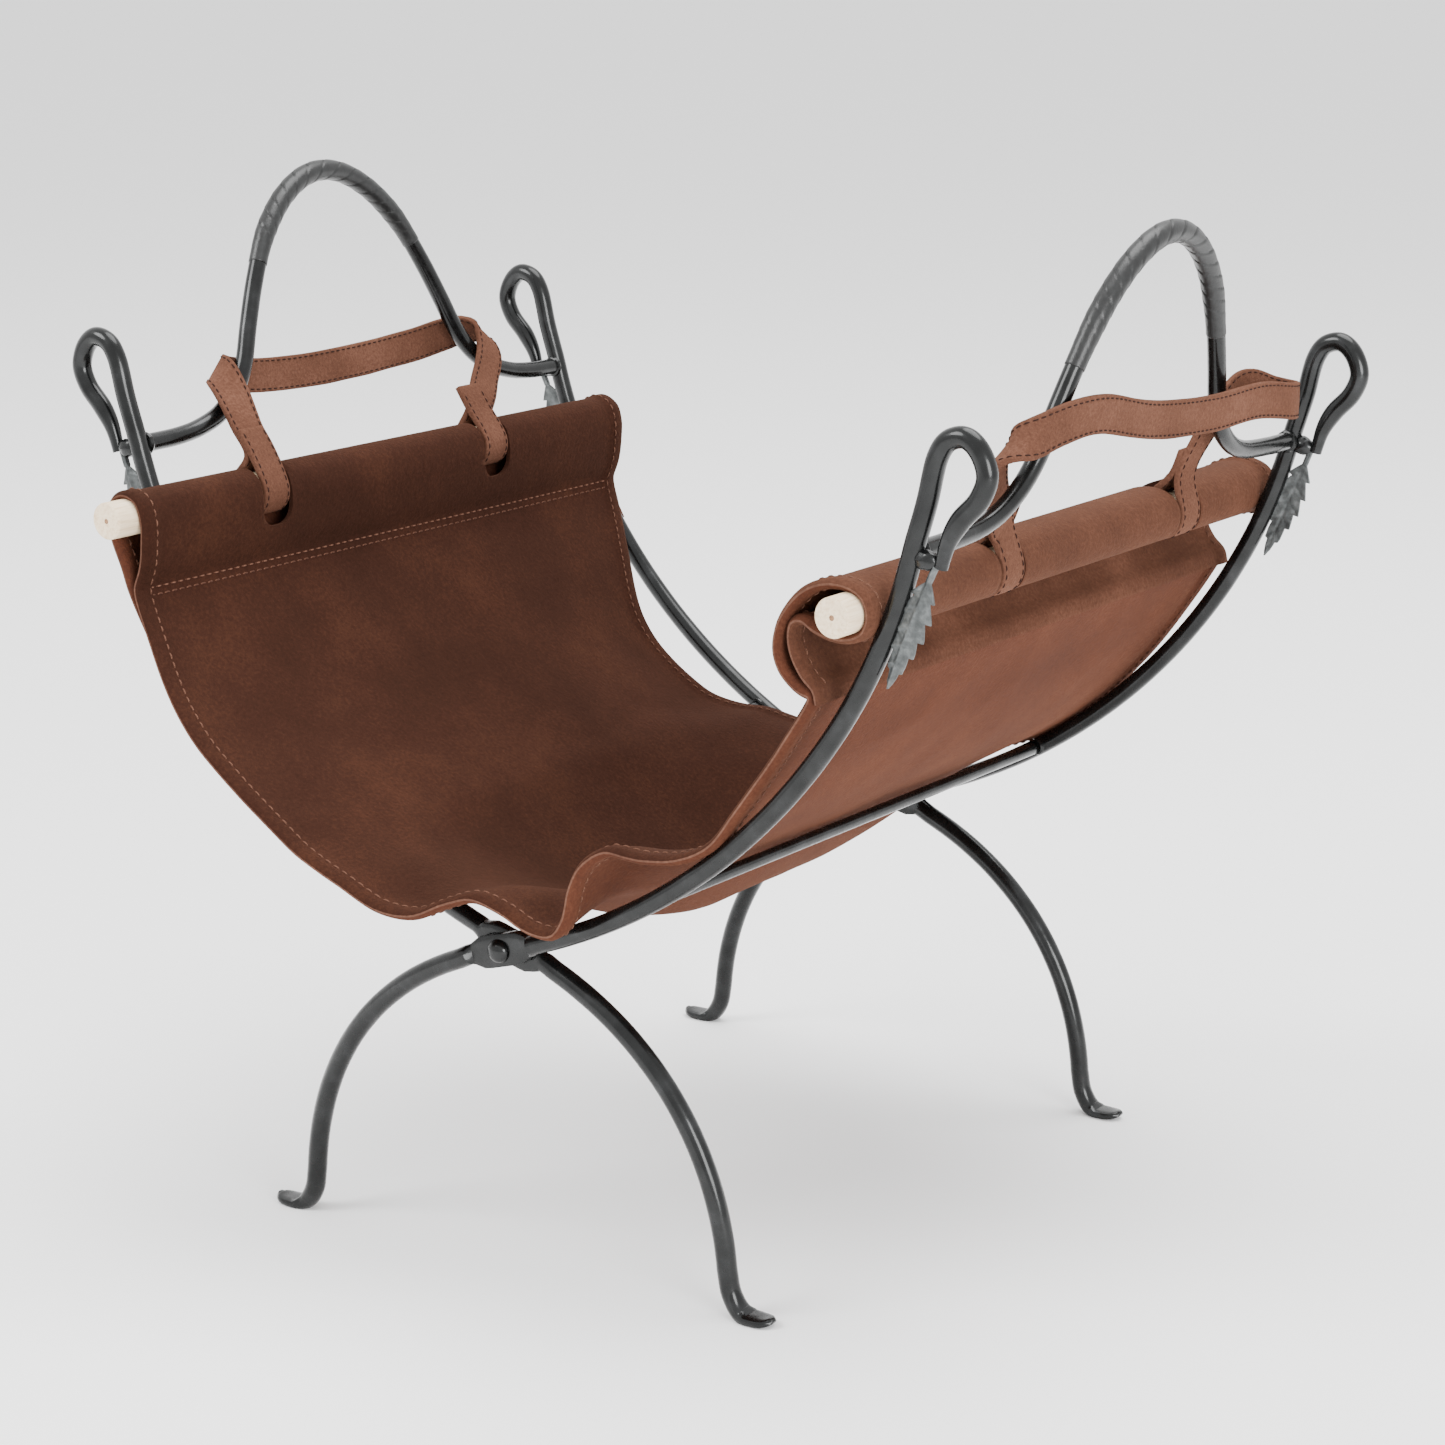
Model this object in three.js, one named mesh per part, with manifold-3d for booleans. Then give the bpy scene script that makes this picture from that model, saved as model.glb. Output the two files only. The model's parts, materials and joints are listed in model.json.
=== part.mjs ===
// A folding magazine rack: two forged half-frames that cross like an X and turn on two rivets, a suede sling
// hung from two wooden dowels, a bar handle on each side and a leather strap that ties each dowel to its handle.
// Millimetres, +Z up. X runs across the sling, Y along the dowels with the near end at -Y.
import * as THREE from "three";
import { mergeVertices } from "three/addons/utils/BufferGeometryUtils.js";
import Module from "manifold-3d";

const wasm = await Module();
wasm.setup();

// Clearances
const GAP = 0.3; // between pieces that touch
const RIVET_PLAY = 0.35; // around a rivet's shank, on the radius

// Forged bars
const LEG_R = 5;
const ARM_R = 4.75;
const HALF_DEPTH = 177; // from the middle of the rack to the centre of an outer bar
const OUTER_END = HALF_DEPTH + LEG_R;

// Rivet and the flat forged plate that it passes through
const PIVOT_Z = 162;
const PLATE_T = 6.4;
const PLATE_HALF_WIDTH = 8.2;
const PLATE_LENGTH = 38;
const RIVET_R = 3.5;
const RIVET_HEAD_R = 6.8;
const RIVET_HEAD_H = 4.2;

// Legs, measured from the pivot
const ANKLE_X = 124;
const ANKLE_Z = 24;
const TOE_REACH = 27;
const PAD_HALF_WIDTH = 6.7;
const PAD_HALF_T = 2.2;

// Arms
const ARM_TOP_X = 231;
const ARM_TOP_Z = 383;

// Eye that the bar's end is bent into
const EYE_RISE = 49;
const EYE_REACH = 36;

// Leaves
const LEAF_LENGTH = 60;
const LEAF_HALF_WIDTH = 8.5;
const LEAF_TIP_CLEAR = 9; // between a leaf's tip and the arm
const LEAF_T = 2.8;
const LEAF_STEM_R = 1.7;
const LEAF_TEETH = 5;

// Bar handles
const HOOP_R = 4.5;
const HOOP_RISE = 120;
const HOOP_WELD_Z = ARM_TOP_Z - 3;
const HOOP_LEAN = THREE.MathUtils.degToRad(10.9);
const GRIP_WALL = 0.85;

// Stretchers
const STRETCHER_X = 88;
const STRETCHER_R = 3.25;

// Dowels
const DOWEL_R = 9;
const DOWEL_LENGTH = 2 * HALF_DEPTH + 36;
const DOWEL_Z = ARM_TOP_Z - 31;
const DOWEL_LEFT_Y = -23; // middle of each dowel along Y
const DOWEL_RIGHT_Y = -3;

// Sling
const SUEDE_T = 2.4;
const SLING_WIDTH = 2 * HALF_DEPTH + 28;
const SLING_LEFT_Y = -16; // middle of each hem along Y: the sling hangs a little askew
const SLING_RIGHT_Y = 4;
const SLING_DRIFT = 20; // of the left panel towards the near end, half-way up
const SLING_LOW_Z = PIVOT_Z - 21;
const SLING_EDGE_Z = PIVOT_Z + 26;
const HEM_SEAM_Z = ARM_TOP_Z - 66;
const HEM_FLAP_Z = ARM_TOP_Z - 88;
const SLOT_WIDTH = 25;
const SLOT_CORNER = 8;
const SLOT_MARGIN = 6; // under the strap

// Straps
const STRAP_WIDTH = 18;
const STRAP_T = 3.2;

const FRAME_A = 1; // its arms are on the right, its legs on the left
const FRAME_B = -1; // mirrored

// Planes of the two half-frames: B's bars lie just inside A's, and the plates meet between them.
const MATING = HALF_DEPTH - LEG_R - GAP / 2;
const BAR_Y = { [FRAME_A]: HALF_DEPTH, [FRAME_B]: MATING - GAP / 2 - LEG_R };
const PLATE_Y = {
  [FRAME_A]: MATING + GAP / 2 + PLATE_T / 2,
  [FRAME_B]: MATING - GAP / 2 - PLATE_T / 2,
};

// Materials
const STEEL = new THREE.MeshStandardMaterial({ color: 0x1d1e20, roughness: 0.4, metalness: 0.6 });
const LEAF_METAL = new THREE.MeshStandardMaterial({ color: 0x8c8e8f, roughness: 0.5, metalness: 0.8 });
const WRAP = new THREE.MeshStandardMaterial({ color: 0x1b1a1a, roughness: 0.6, metalness: 0.0 });
const WOOD = new THREE.MeshStandardMaterial({ color: 0xf2dfc4, roughness: 0.7, metalness: 0.0 });
const SUEDE = new THREE.MeshStandardMaterial({ color: 0x6d4636, roughness: 0.95, metalness: 0.0 });
const STRAP_LEATHER = new THREE.MeshStandardMaterial({ color: 0x95705f, roughness: 0.9, metalness: 0.0 });

const lerp = THREE.MathUtils.lerp;
const smoothstep = THREE.MathUtils.smoothstep;
const range = (count) => [...Array(count).keys()];
const at = (x, z) => new THREE.Vector2(x, z);

// Closed body of a list of points and faces, with its faces turned outwards.
function body(points, faces) {
  const geometry = new THREE.BufferGeometry().setFromPoints(points);
  const volume = faces.reduce((sum, [a, b, c]) => {
    const cross = new THREE.Vector3().crossVectors(points[b], points[c]);
    return sum + points[a].dot(cross);
  }, 0);
  const outward = volume > 0 ? faces : faces.map(([a, b, c]) => [a, c, b]);
  return geometry.setIndex(outward.flat());
}

// Body through a row of closed rings of equal count, with a cap on each end.
function loft(rings) {
  const count = rings[0].length;
  const points = rings.flat();
  const faces = [];
  for (let r = 0; r + 1 < rings.length; r++) {
    for (let i = 0; i < count; i++) {
      const j = (i + 1) % count;
      const low = r * count;
      const high = low + count;
      faces.push([low + i, low + j, high + j], [low + i, high + j, high + i]);
    }
  }
  const last = (rings.length - 1) * count;
  for (let i = 1; i + 1 < count; i++) {
    faces.push([0, i + 1, i], [last, last + i, last + i + 1]);
  }
  return body(points, faces);
}

// Sheet of a given thickness on a grid of points, rows[j][i].
function sheetSolid(rows, thickness) {
  const columns = rows[0].length;
  const clampRow = (j) => rows[Math.min(Math.max(j, 0), rows.length - 1)];
  const clampPoint = (row, i) => row[Math.min(Math.max(i, 0), columns - 1)];
  const faceUp = [];
  const faceDown = [];
  rows.forEach((row, j) => {
    row.forEach((point, i) => {
      const along = clampPoint(row, i + 1).clone().sub(clampPoint(row, i - 1));
      const across = clampPoint(clampRow(j + 1), i).clone().sub(clampPoint(clampRow(j - 1), i));
      const half = along.cross(across).normalize().multiplyScalar(thickness / 2);
      faceUp.push(point.clone().add(half));
      faceDown.push(point.clone().sub(half));
    });
  });
  const faces = [];
  const quad = (a, b, c, d) => faces.push([a, b, c], [a, c, d]);
  const under = faceUp.length;
  for (let j = 0; j + 1 < rows.length; j++) {
    for (let i = 0; i + 1 < columns; i++) {
      const a = j * columns + i;
      quad(a, a + 1, a + columns + 1, a + columns);
      quad(under + a, under + a + columns, under + a + columns + 1, under + a + 1);
    }
  }
  const rim = (a, b) => quad(a, under + a, under + b, b);
  const lastRow = (rows.length - 1) * columns;
  for (let i = 0; i + 1 < columns; i++) {
    rim(i, i + 1);
    rim(lastRow + i + 1, lastRow + i);
  }
  for (let j = 0; j + 1 < rows.length; j++) {
    rim((j + 1) * columns, j * columns);
    rim(j * columns + columns - 1, (j + 1) * columns + columns - 1);
  }
  return body([...faceUp, ...faceDown], faces);
}

// A geometry as a solid that can be cut and joined, and the way back.
function solid(geometry) {
  const bare = geometry.clone();
  bare.deleteAttribute("normal");
  bare.deleteAttribute("uv");
  const merged = mergeVertices(bare, 1e-4);
  const vertProperties = merged.attributes.position.array;
  const triVerts = new Uint32Array(merged.index.array);
  return new wasm.Manifold(new wasm.Mesh({ numProp: 3, vertProperties, triVerts }));
}

function geometryOf(made) {
  const mesh = made.getMesh();
  const geometry = new THREE.BufferGeometry();
  geometry.setAttribute("position", new THREE.BufferAttribute(mesh.vertProperties, 3));
  geometry.setIndex(new THREE.BufferAttribute(mesh.triVerts, 1));
  geometry.computeVertexNormals();
  return geometry;
}

function piece(name, geometry, material) {
  const mesh = new THREE.Mesh(geometry, material);
  mesh.name = name;
  return mesh;
}

// Cylinder along Y between two points of that axis.
function rodAlongY(radius, x, z, from, to, sides) {
  const rod = new THREE.CylinderGeometry(radius, radius, to - from, sides);
  return rod.translate(x, (from + to) / 2, z);
}

// ---- Forged bars ----

const pivot = at(0, PIVOT_Z);
const armTop = at(ARM_TOP_X, ARM_TOP_Z);

// Centre line of an arm from the pivot to where the eye begins, on the right-hand side.
const armCurve = new THREE.CubicBezierCurve(
  pivot,
  at(ARM_TOP_X * 0.478, lerp(PIVOT_Z, ARM_TOP_Z, 0.143)),
  at(ARM_TOP_X * 0.885, lerp(PIVOT_Z, ARM_TOP_Z, 0.517)),
  armTop,
);

// Centre line of a leg from the pivot to the ankle, on the left-hand side.
const legCurve = new THREE.CubicBezierCurve(
  pivot,
  at(-ANKLE_X * 0.605, lerp(PIVOT_Z, ANKLE_Z, 0.152)),
  at(-ANKLE_X * 0.952, lerp(PIVOT_Z, ANKLE_Z, 0.522)),
  at(-ANKLE_X, ANKLE_Z),
);

// The foot turns outwards into a flat pad with a raised toe.
const footCurve = new THREE.SplineCurve([
  at(-ANKLE_X, ANKLE_Z),
  at(-ANKLE_X - TOE_REACH * 0.09, ANKLE_Z * 0.5),
  at(-ANKLE_X - TOE_REACH * 0.3, PAD_HALF_T * 1.7),
]);
const padStart = at(-ANKLE_X - TOE_REACH * 0.48, PAD_HALF_T);
const padEnd = at(-ANKLE_X - TOE_REACH * 0.78, PAD_HALF_T);
const toeTip = at(-ANKLE_X - TOE_REACH, PAD_HALF_T + 2.6);

// The eye: out, up, over and back down to the arm, as shares of its rise and reach.
const eyeCurve = new THREE.SplineCurve(
  [
    [0, 0],
    [0.17, 0.4],
    [0.31, 0.8],
    [0.45, 0.94],
    [0.68, 0.98],
    [0.87, 0.88],
    [0.98, 0.67],
    [0.88, 0.47],
    [0.63, 0.27],
    [0.47, 0.08],
    [0.37, -0.16],
  ].map(([across, up]) => at(ARM_TOP_X + across * EYE_REACH, ARM_TOP_Z + up * EYE_RISE)),
);
const eyeEnd = eyeCurve.getPoint(1);

// Stations of the whole bar from toe to eye end: place, half-thickness in its plane, half-width along Y,
// shift along Y from the bar's own plane, and squareness from 0 for round to 1 for a rectangle.
function barStations(frame) {
  const stations = [];
  const add = (place, inPlane, alongY, shift, square) => {
    stations.push({ place, inPlane, alongY, shift, square });
  };
  add(toeTip, PAD_HALF_T * 0.55, PAD_HALF_WIDTH * 0.55, 0, 0.4);
  add(at(lerp(padEnd.x, toeTip.x, 0.6), PAD_HALF_T + 0.9), PAD_HALF_T * 0.9, PAD_HALF_WIDTH * 0.88, 0, 0.7);
  add(padEnd, PAD_HALF_T, PAD_HALF_WIDTH, 0, 1);
  add(padStart, PAD_HALF_T, PAD_HALF_WIDTH, 0, 1);
  [0.98, 0.8, 0.6, 0.4, 0.2].forEach((t) => {
    const thick = lerp(LEG_R, PAD_HALF_T + 0.3, t * t * t);
    const wide = lerp(LEG_R, PAD_HALF_WIDTH, t * t);
    add(footCurve.getPoint(t), thick, wide, 0, 0);
  });

  const plateHalf = PLATE_LENGTH / 2;
  const plateShift = PLATE_Y[frame] - BAR_Y[frame];
  const legEnd = 1 - 0.9 * (plateHalf / legCurve.getLength());
  range(12).forEach((i) => add(legCurve.getPointAt(lerp(1, 1 - legEnd, i / 11)), LEG_R, LEG_R, 0, 0));

  const along = armCurve.getTangent(0);
  [-0.86, -0.58, 0, 0.58, 0.86].forEach((share) => {
    const place = pivot.clone().addScaledVector(along, share * plateHalf);
    const width = lerp(PLATE_HALF_WIDTH, LEG_R, smoothstep(Math.abs(share), 0.55, 1));
    add(place, width, PLATE_T / 2, plateShift, 0.92);
  });

  const armStart = 1.12 * (plateHalf / armCurve.getLength());
  range(19).forEach((i) => add(armCurve.getPointAt(lerp(armStart, 1, i / 18)), ARM_R, ARM_R, 0, 0));
  range(17).forEach((i) => add(eyeCurve.getPointAt((i + 1) / 17), ARM_R, ARM_R, 0, 0));
  return stations;
}

const SIDES = 12;

// Ring round one station: a blend of a circle and the rectangle round it.
function barRing(station, tangent, y, outward, frame) {
  const normal = at(-tangent.y, tangent.x);
  return range(SIDES).map((k) => {
    const angle = ((k + 0.5) / SIDES) * 2 * Math.PI;
    const c = Math.cos(angle);
    const s = Math.sin(angle);
    const reach = lerp(1, 1 / Math.max(Math.abs(c), Math.abs(s)), station.square);
    const place = station.place.clone().addScaledVector(normal, c * reach * station.inPlane);
    const depth = y + outward * station.shift + s * reach * station.alongY;
    return new THREE.Vector3(frame * place.x, depth, place.y);
  });
}

function forgedBar(frame, end) {
  const stations = barStations(frame);
  const y = end * BAR_Y[frame];
  const rings = stations.map((station, i) => {
    const before = stations[Math.max(i - 1, 0)].place;
    const after = stations[Math.min(i + 1, stations.length - 1)].place;
    let tangent = after.clone().sub(before).normalize();
    if (station.square === 1) tangent = at(1, 0).multiplyScalar(Math.sign(after.x - before.x));
    return barRing(station, tangent, y, end, frame);
  });
  const bar = solid(loft(rings));

  // The weld that closes the eye bridges its free end and the arm.
  const armSide = armCurve.getPointAt(0.975);
  const weldSpan = eyeEnd.distanceTo(armSide);
  const weld = new THREE.BoxGeometry(weldSpan, ARM_R * 1.3, ARM_R * 1.5);
  weld.rotateY(-Math.atan2(eyeEnd.y - armSide.y, eyeEnd.x - armSide.x));
  weld.translate((eyeEnd.x + armSide.x) / 2, 0, (eyeEnd.y + armSide.y) / 2 + ARM_R * 0.9);
  if (frame === FRAME_B) weld.rotateZ(Math.PI);
  weld.translate(0, y, 0);

  const plateY = end * PLATE_Y[frame];
  const hole = rodAlongY(RIVET_R + RIVET_PLAY, 0, PIVOT_Z, plateY - PLATE_T, plateY + PLATE_T, 20);
  return geometryOf(bar.add(solid(weld)).subtract(solid(hole)));
}

// ---- Rivets ----

function rivet(end) {
  const inner = MATING - GAP / 2 - PLATE_T - GAP;
  const outer = MATING + GAP / 2 + PLATE_T + GAP;
  const dome = range(5).map((i) => (i / 4) * (Math.PI / 2));
  const profile = [
    ...dome.map((a) => at(RIVET_HEAD_R * Math.sin(a), inner - RIVET_HEAD_H * Math.cos(a))),
    at(RIVET_R, inner),
    at(RIVET_R, outer),
    ...dome.toReversed().map((a) => at(RIVET_HEAD_R * Math.sin(a), outer + RIVET_HEAD_H * Math.cos(a))),
  ];
  const turned = new THREE.LatheGeometry(profile, 18);
  if (end < 0) turned.rotateX(Math.PI);
  return geometryOf(solid(turned.translate(0, 0, PIVOT_Z)));
}

// ---- Places along an arm ----

// The arm's curve parameter where it passes a given height or distance across.
function armParameter(axis, value) {
  let low = 0;
  let high = 1;
  for (let i = 0; i < 40; i++) {
    const middle = (low + high) / 2;
    if (armCurve.getPoint(middle)[axis] < value) low = middle;
    else high = middle;
  }
  return low;
}

// Point at a distance from the arm's centre line, on its inner, upper side.
function insideArm(t, offset) {
  const tangent = armCurve.getTangent(t);
  return armCurve.getPoint(t).addScaledVector(at(-tangent.y, tangent.x), offset);
}

const FLAP_OFFSET = ARM_R + GAP + 0.1 + SUEDE_T / 2;
const LINED_OFFSET = FLAP_OFFSET + SUEDE_T + GAP;
const DOWEL_OFFSET = FLAP_OFFSET + SUEDE_T / 2 + GAP + DOWEL_R;
const HEM_R = DOWEL_R + 1.5 * GAP + SUEDE_T / 2;

const tStretcher = armParameter("x", STRETCHER_X);
const tDowel = armParameter("y", DOWEL_Z - 6);
const tSeam = armParameter("y", HEM_SEAM_Z);
const tFlap = armParameter("y", HEM_FLAP_Z);
const stretcherPlace = armCurve.getPoint(tStretcher);
const dowelPlace = insideArm(tDowel, DOWEL_OFFSET);

function stretcher(frame) {
  const reach = BAR_Y[frame] - ARM_R - GAP;
  return rodAlongY(STRETCHER_R, frame * stretcherPlace.x, stretcherPlace.y, -reach, reach, 12);
}

const dowelY = (side) => (side > 0 ? DOWEL_RIGHT_Y : DOWEL_LEFT_Y);

function dowel(side) {
  const middle = dowelY(side);
  const from = middle - DOWEL_LENGTH / 2;
  return rodAlongY(DOWEL_R, side * dowelPlace.x, dowelPlace.y, from, from + DOWEL_LENGTH, 28);
}

// ---- Bar handles ----

// Half of the handle's outline from its crown to its weld: distance from the middle, and height as a share of
// the rise from weld to crown. Where it nears the bar, the distance counts back from the bar.
const HOOP_HALF = [
  [0, 1],
  [13, 0.985],
  [26, 0.94],
  [39, 0.865],
  [53, 0.74],
  [66, 0.56],
  [76, 0.39],
  [83, 0.26],
  [92, 0.155],
  [106, 0.07],
  [122, 0.025],
];

function hoopCurve(frame) {
  const reach = BAR_Y[frame] - ARM_R - GAP;
  const half = [...HOOP_HALF, [reach - 24, 0.005], [reach, 0]];
  const whole = [...half.toReversed().map(([y, up]) => [-y, up]), ...half.slice(1)];
  const weldX = armCurve.getPoint(armParameter("y", HOOP_WELD_Z)).x;
  return new THREE.CatmullRomCurve3(
    whole.map(([y, up]) => {
      const x = weldX + up * HOOP_RISE * Math.tan(HOOP_LEAN);
      return new THREE.Vector3(frame * x, y, HOOP_WELD_Z + up * HOOP_RISE);
    }),
  );
}

const HOOP_STEPS = 46;
const GRIP_FROM = 14; // the grip's first and last step along the handle
const GRIP_TO = 32;

// Rings of a given radius round the handle, step by step, in the plane that it leans in.
function hoopRings(frame, radius, from, to) {
  const curve = hoopCurve(frame);
  const leaning = new THREE.Vector3(frame * Math.cos(HOOP_LEAN), 0, -Math.sin(HOOP_LEAN));
  return range(to - from + 1).map((k) => {
    const u = (from + k) / HOOP_STEPS;
    const tangent = curve.getTangentAt(u);
    if (u === 0 || u === 1) tangent.set(0, 1, 0);
    const across = new THREE.Vector3().crossVectors(tangent, leaning).normalize();
    return range(SIDES).map((i) => {
      const angle = ((i + 0.5) / SIDES) * 2 * Math.PI;
      return curve
        .getPointAt(u)
        .addScaledVector(leaning, radius * Math.cos(angle))
        .addScaledVector(across, radius * Math.sin(angle));
    });
  });
}

const hoop = (frame) => loft(hoopRings(frame, HOOP_R, 0, HOOP_STEPS));

function gripWrap(frame) {
  const wall = HOOP_R + GAP;
  const outer = solid(loft(hoopRings(frame, wall + GRIP_WALL, GRIP_FROM, GRIP_TO)));
  const bore = solid(loft(hoopRings(frame, wall, GRIP_FROM - 1, GRIP_TO + 1)));
  return geometryOf(outer.subtract(bore));
}

// ---- Leaves ----

// A serrated leaf that hangs from the eye's weld, lying in its bar's plane just outside the arm.
function leaf(frame, end) {
  const shape = new THREE.Shape();
  const halfWidth = (s) => LEAF_HALF_WIDTH * Math.sin(Math.PI * Math.pow(s, 0.75)) ** 0.8;
  const edge = (sign) =>
    range(LEAF_TEETH).flatMap((tooth) => {
      const root = 0.16 + (0.84 * tooth) / LEAF_TEETH;
      const tip = root + (0.84 / LEAF_TEETH) * 0.8;
      return [
        [sign * halfWidth(root) * 0.8, -root * LEAF_LENGTH],
        [sign * halfWidth(tip) * 1.0, -tip * LEAF_LENGTH],
      ];
    });
  const outline = [
    [LEAF_STEM_R, 0],
    [LEAF_STEM_R, -0.12 * LEAF_LENGTH],
    ...edge(1),
    [0, -LEAF_LENGTH],
    ...edge(-1).toReversed(),
    [-LEAF_STEM_R, -0.12 * LEAF_LENGTH],
    [-LEAF_STEM_R, 0],
  ];
  shape.setFromPoints(outline.map(([x, y]) => at(x, y)));
  const flat = new THREE.ExtrudeGeometry(shape, { depth: LEAF_T, bevelEnabled: false });
  flat.translate(0, 0, -LEAF_T / 2);
  flat.rotateX(Math.PI / 2);
  const eyeDown = eyeCurve.getTangent(1);
  const hang = eyeEnd.clone().addScaledVector(eyeDown, GAP + LEAF_STEM_R).add(at(ARM_R * 0.5, 0));
  const tArm = armParameter("y", hang.y - LEAF_LENGTH * 0.9);
  const down = insideArm(tArm, -ARM_R - LEAF_TIP_CLEAR).sub(hang);
  flat.rotateY(Math.atan2(-down.x, -down.y));
  flat.translate(hang.x, 0, hang.y);
  if (frame === FRAME_B) flat.rotateZ(Math.PI);
  return geometryOf(solid(flat.translate(0, end * BAR_Y[frame], 0)));
}

// ---- Sling ----

// Middle of the sling along Y, for a share of the way from its left edge to its right edge.
function slingY(share) {
  const drift = smoothstep(share, 0.01, 0.2) - smoothstep(share, 0.3, 0.6);
  return lerp(SLING_LEFT_Y, SLING_RIGHT_Y, share) - SLING_DRIFT * drift;
}

// Height of the sling's lowest line for a place along the rack: it sags between the two rivets.
function slingLow(y) {
  const plate = MATING - PLATE_T - RIVET_HEAD_H;
  return lerp(SLING_LOW_Z, SLING_EDGE_Z, smoothstep(Math.abs(y), plate - 52, plate));
}

// Distance of the hanging layer from the arm's centre line, from the stretcher up to the seam.
function hangOffset(t) {
  return lerp(FLAP_OFFSET, LINED_OFFSET, smoothstep(t, tFlap - 0.09, tFlap - 0.02));
}

// Angle, seen from the middle of a circle, at which a taut line from an outside point meets the circle. The
// turn is +1 for the meeting point that lies counterclockwise of the outside point, and -1 for the other.
function tangentAngle(centre, radius, outside, turn) {
  const reach = outside.clone().sub(centre);
  return reach.angle() + turn * Math.acos(radius / reach.length());
}

// Points on an arc between two angles, both ends included.
function arcPoints(centre, radius, from, to, count) {
  return range(count).map((i) => {
    const angle = lerp(from, to, i / (count - 1));
    return at(centre.x + radius * Math.cos(angle), centre.y + radius * Math.sin(angle));
  });
}

// Middle line of the suede on the right-hand side, from the lowest point over the stretcher and the dowel to
// the free edge of the hem.
function slingHalf(low) {
  const overStretcher = insideArm(tStretcher, FLAP_OFFSET);
  const sag = range(8).map((i) => {
    const share = i / 8;
    return at(overStretcher.x * share, lerp(low, overStretcher.y, Math.pow(share, 1.8)));
  });
  const hang = range(11).map((i) => {
    const t = lerp(tStretcher, tSeam + 0.02, i / 10);
    return insideArm(t, hangOffset(t));
  });
  const outwards = insideArm(tDowel, 0).sub(dowelPlace).angle();
  const leaving = tangentAngle(dowelPlace, HEM_R, hang.at(-1), -1);
  const over = arcPoints(dowelPlace, HEM_R, leaving, outwards - 2 * Math.PI + 0.1, 12);
  const back = range(5).map((i) => insideArm(lerp(tDowel, tFlap, i / 4), FLAP_OFFSET));
  return [...sag, ...hang, ...over, ...back];
}

function slingSolid() {
  const depths = [-0.5, -0.43, -0.39, -0.35, -0.31, -0.27, 0, 0.27, 0.31, 0.35, 0.39, 0.43, 0.5];
  const rows = depths.map((depth) => {
    const middleY = slingY(0.5) + depth * SLING_WIDTH;
    const half = slingHalf(slingLow(middleY));
    const left = half.slice(1).map((p) => at(-p.x, p.y)).toReversed();
    const line = [...left, ...half];
    return line.map((p, i) => {
      const share = smoothstep(i, 0, line.length - 1);
      return new THREE.Vector3(p.x, slingY(share) + depth * SLING_WIDTH, p.y);
    });
  });
  return solid(sheetSolid(rows, SUEDE_T));
}

// The seam that joins the hem's two layers.
function seam(side) {
  const between = insideArm(tSeam, (FLAP_OFFSET + LINED_OFFSET) / 2);
  const strip = new THREE.BoxGeometry(SUEDE_T + GAP + 1, SLING_WIDTH - 4, 4);
  strip.rotateY(Math.PI / 2 - armCurve.getTangent(tSeam).angle());
  strip.translate(between.x, 0, between.y);
  if (side < 0) strip.rotateZ(Math.PI);
  return solid(strip.translate(0, slingY((side + 1) / 2), 0));
}

// A round-bottomed slot through both sides of a hem, for a strap.
function slot(side, y) {
  const half = SLOT_WIDTH / 2;
  const shape = new THREE.Shape();
  const inset = half - SLOT_CORNER;
  shape.moveTo(-half, 60);
  shape.lineTo(-half, SLOT_CORNER);
  shape.absarc(-inset, SLOT_CORNER, SLOT_CORNER, Math.PI, 1.5 * Math.PI, false);
  shape.absarc(inset, SLOT_CORNER, SLOT_CORNER, 1.5 * Math.PI, 2 * Math.PI, false);
  shape.lineTo(half, 60);
  const cut = new THREE.ExtrudeGeometry(shape, { depth: 70, bevelEnabled: false, curveSegments: 5 });
  cut.rotateX(Math.PI / 2).rotateZ(Math.PI / 2);
  cut.translate(side * dowelPlace.x - 35, y, dowelPlace.y - DOWEL_R - STRAP_T - SLOT_MARGIN);
  return solid(cut);
}

// ---- Straps ----

// Each strap's route by hand, from its near loop to its far loop: outwards from the top of the arms, along Y,
// up from the top of the arms, and the direction that its width points in.
const LEFT_SLOTS = [-111, 63];
const RIGHT_SLOTS = [-68, 101];
const LEFT_ROUTE = [
  [-27, -110.5, -13, 0, 1, 0],
  [-17, -108, 1, 0, 1, 0.25],
  [-5, -104, 15, 0.1, 0.8, 0.5],
  [5, -101, 24, 0, 0.75, 0.65],
  [12, -96, 24, -0.3, 0.5, 0.85],
  [16, -82, 20, 0, 0.2, 1],
  [16.5, -45, 16, 0.1, 0, 1],
  [16.5, 8, 16, 0.1, 0, 1],
  [16.5, 60, 19, 0.1, 0, 1],
  [16, 86, 22, 0, -0.2, 1],
  [12, 99, 23.5, -0.3, -0.5, 0.85],
  [4, 103, 23, 0, -0.75, 0.65],
  [-5, 100, 15, 0.1, -0.9, 0.4],
  [-14, 86, 2, 0, -1, 0.25],
  [-24, 66, -13, 0, -1, 0.1],
];
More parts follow.
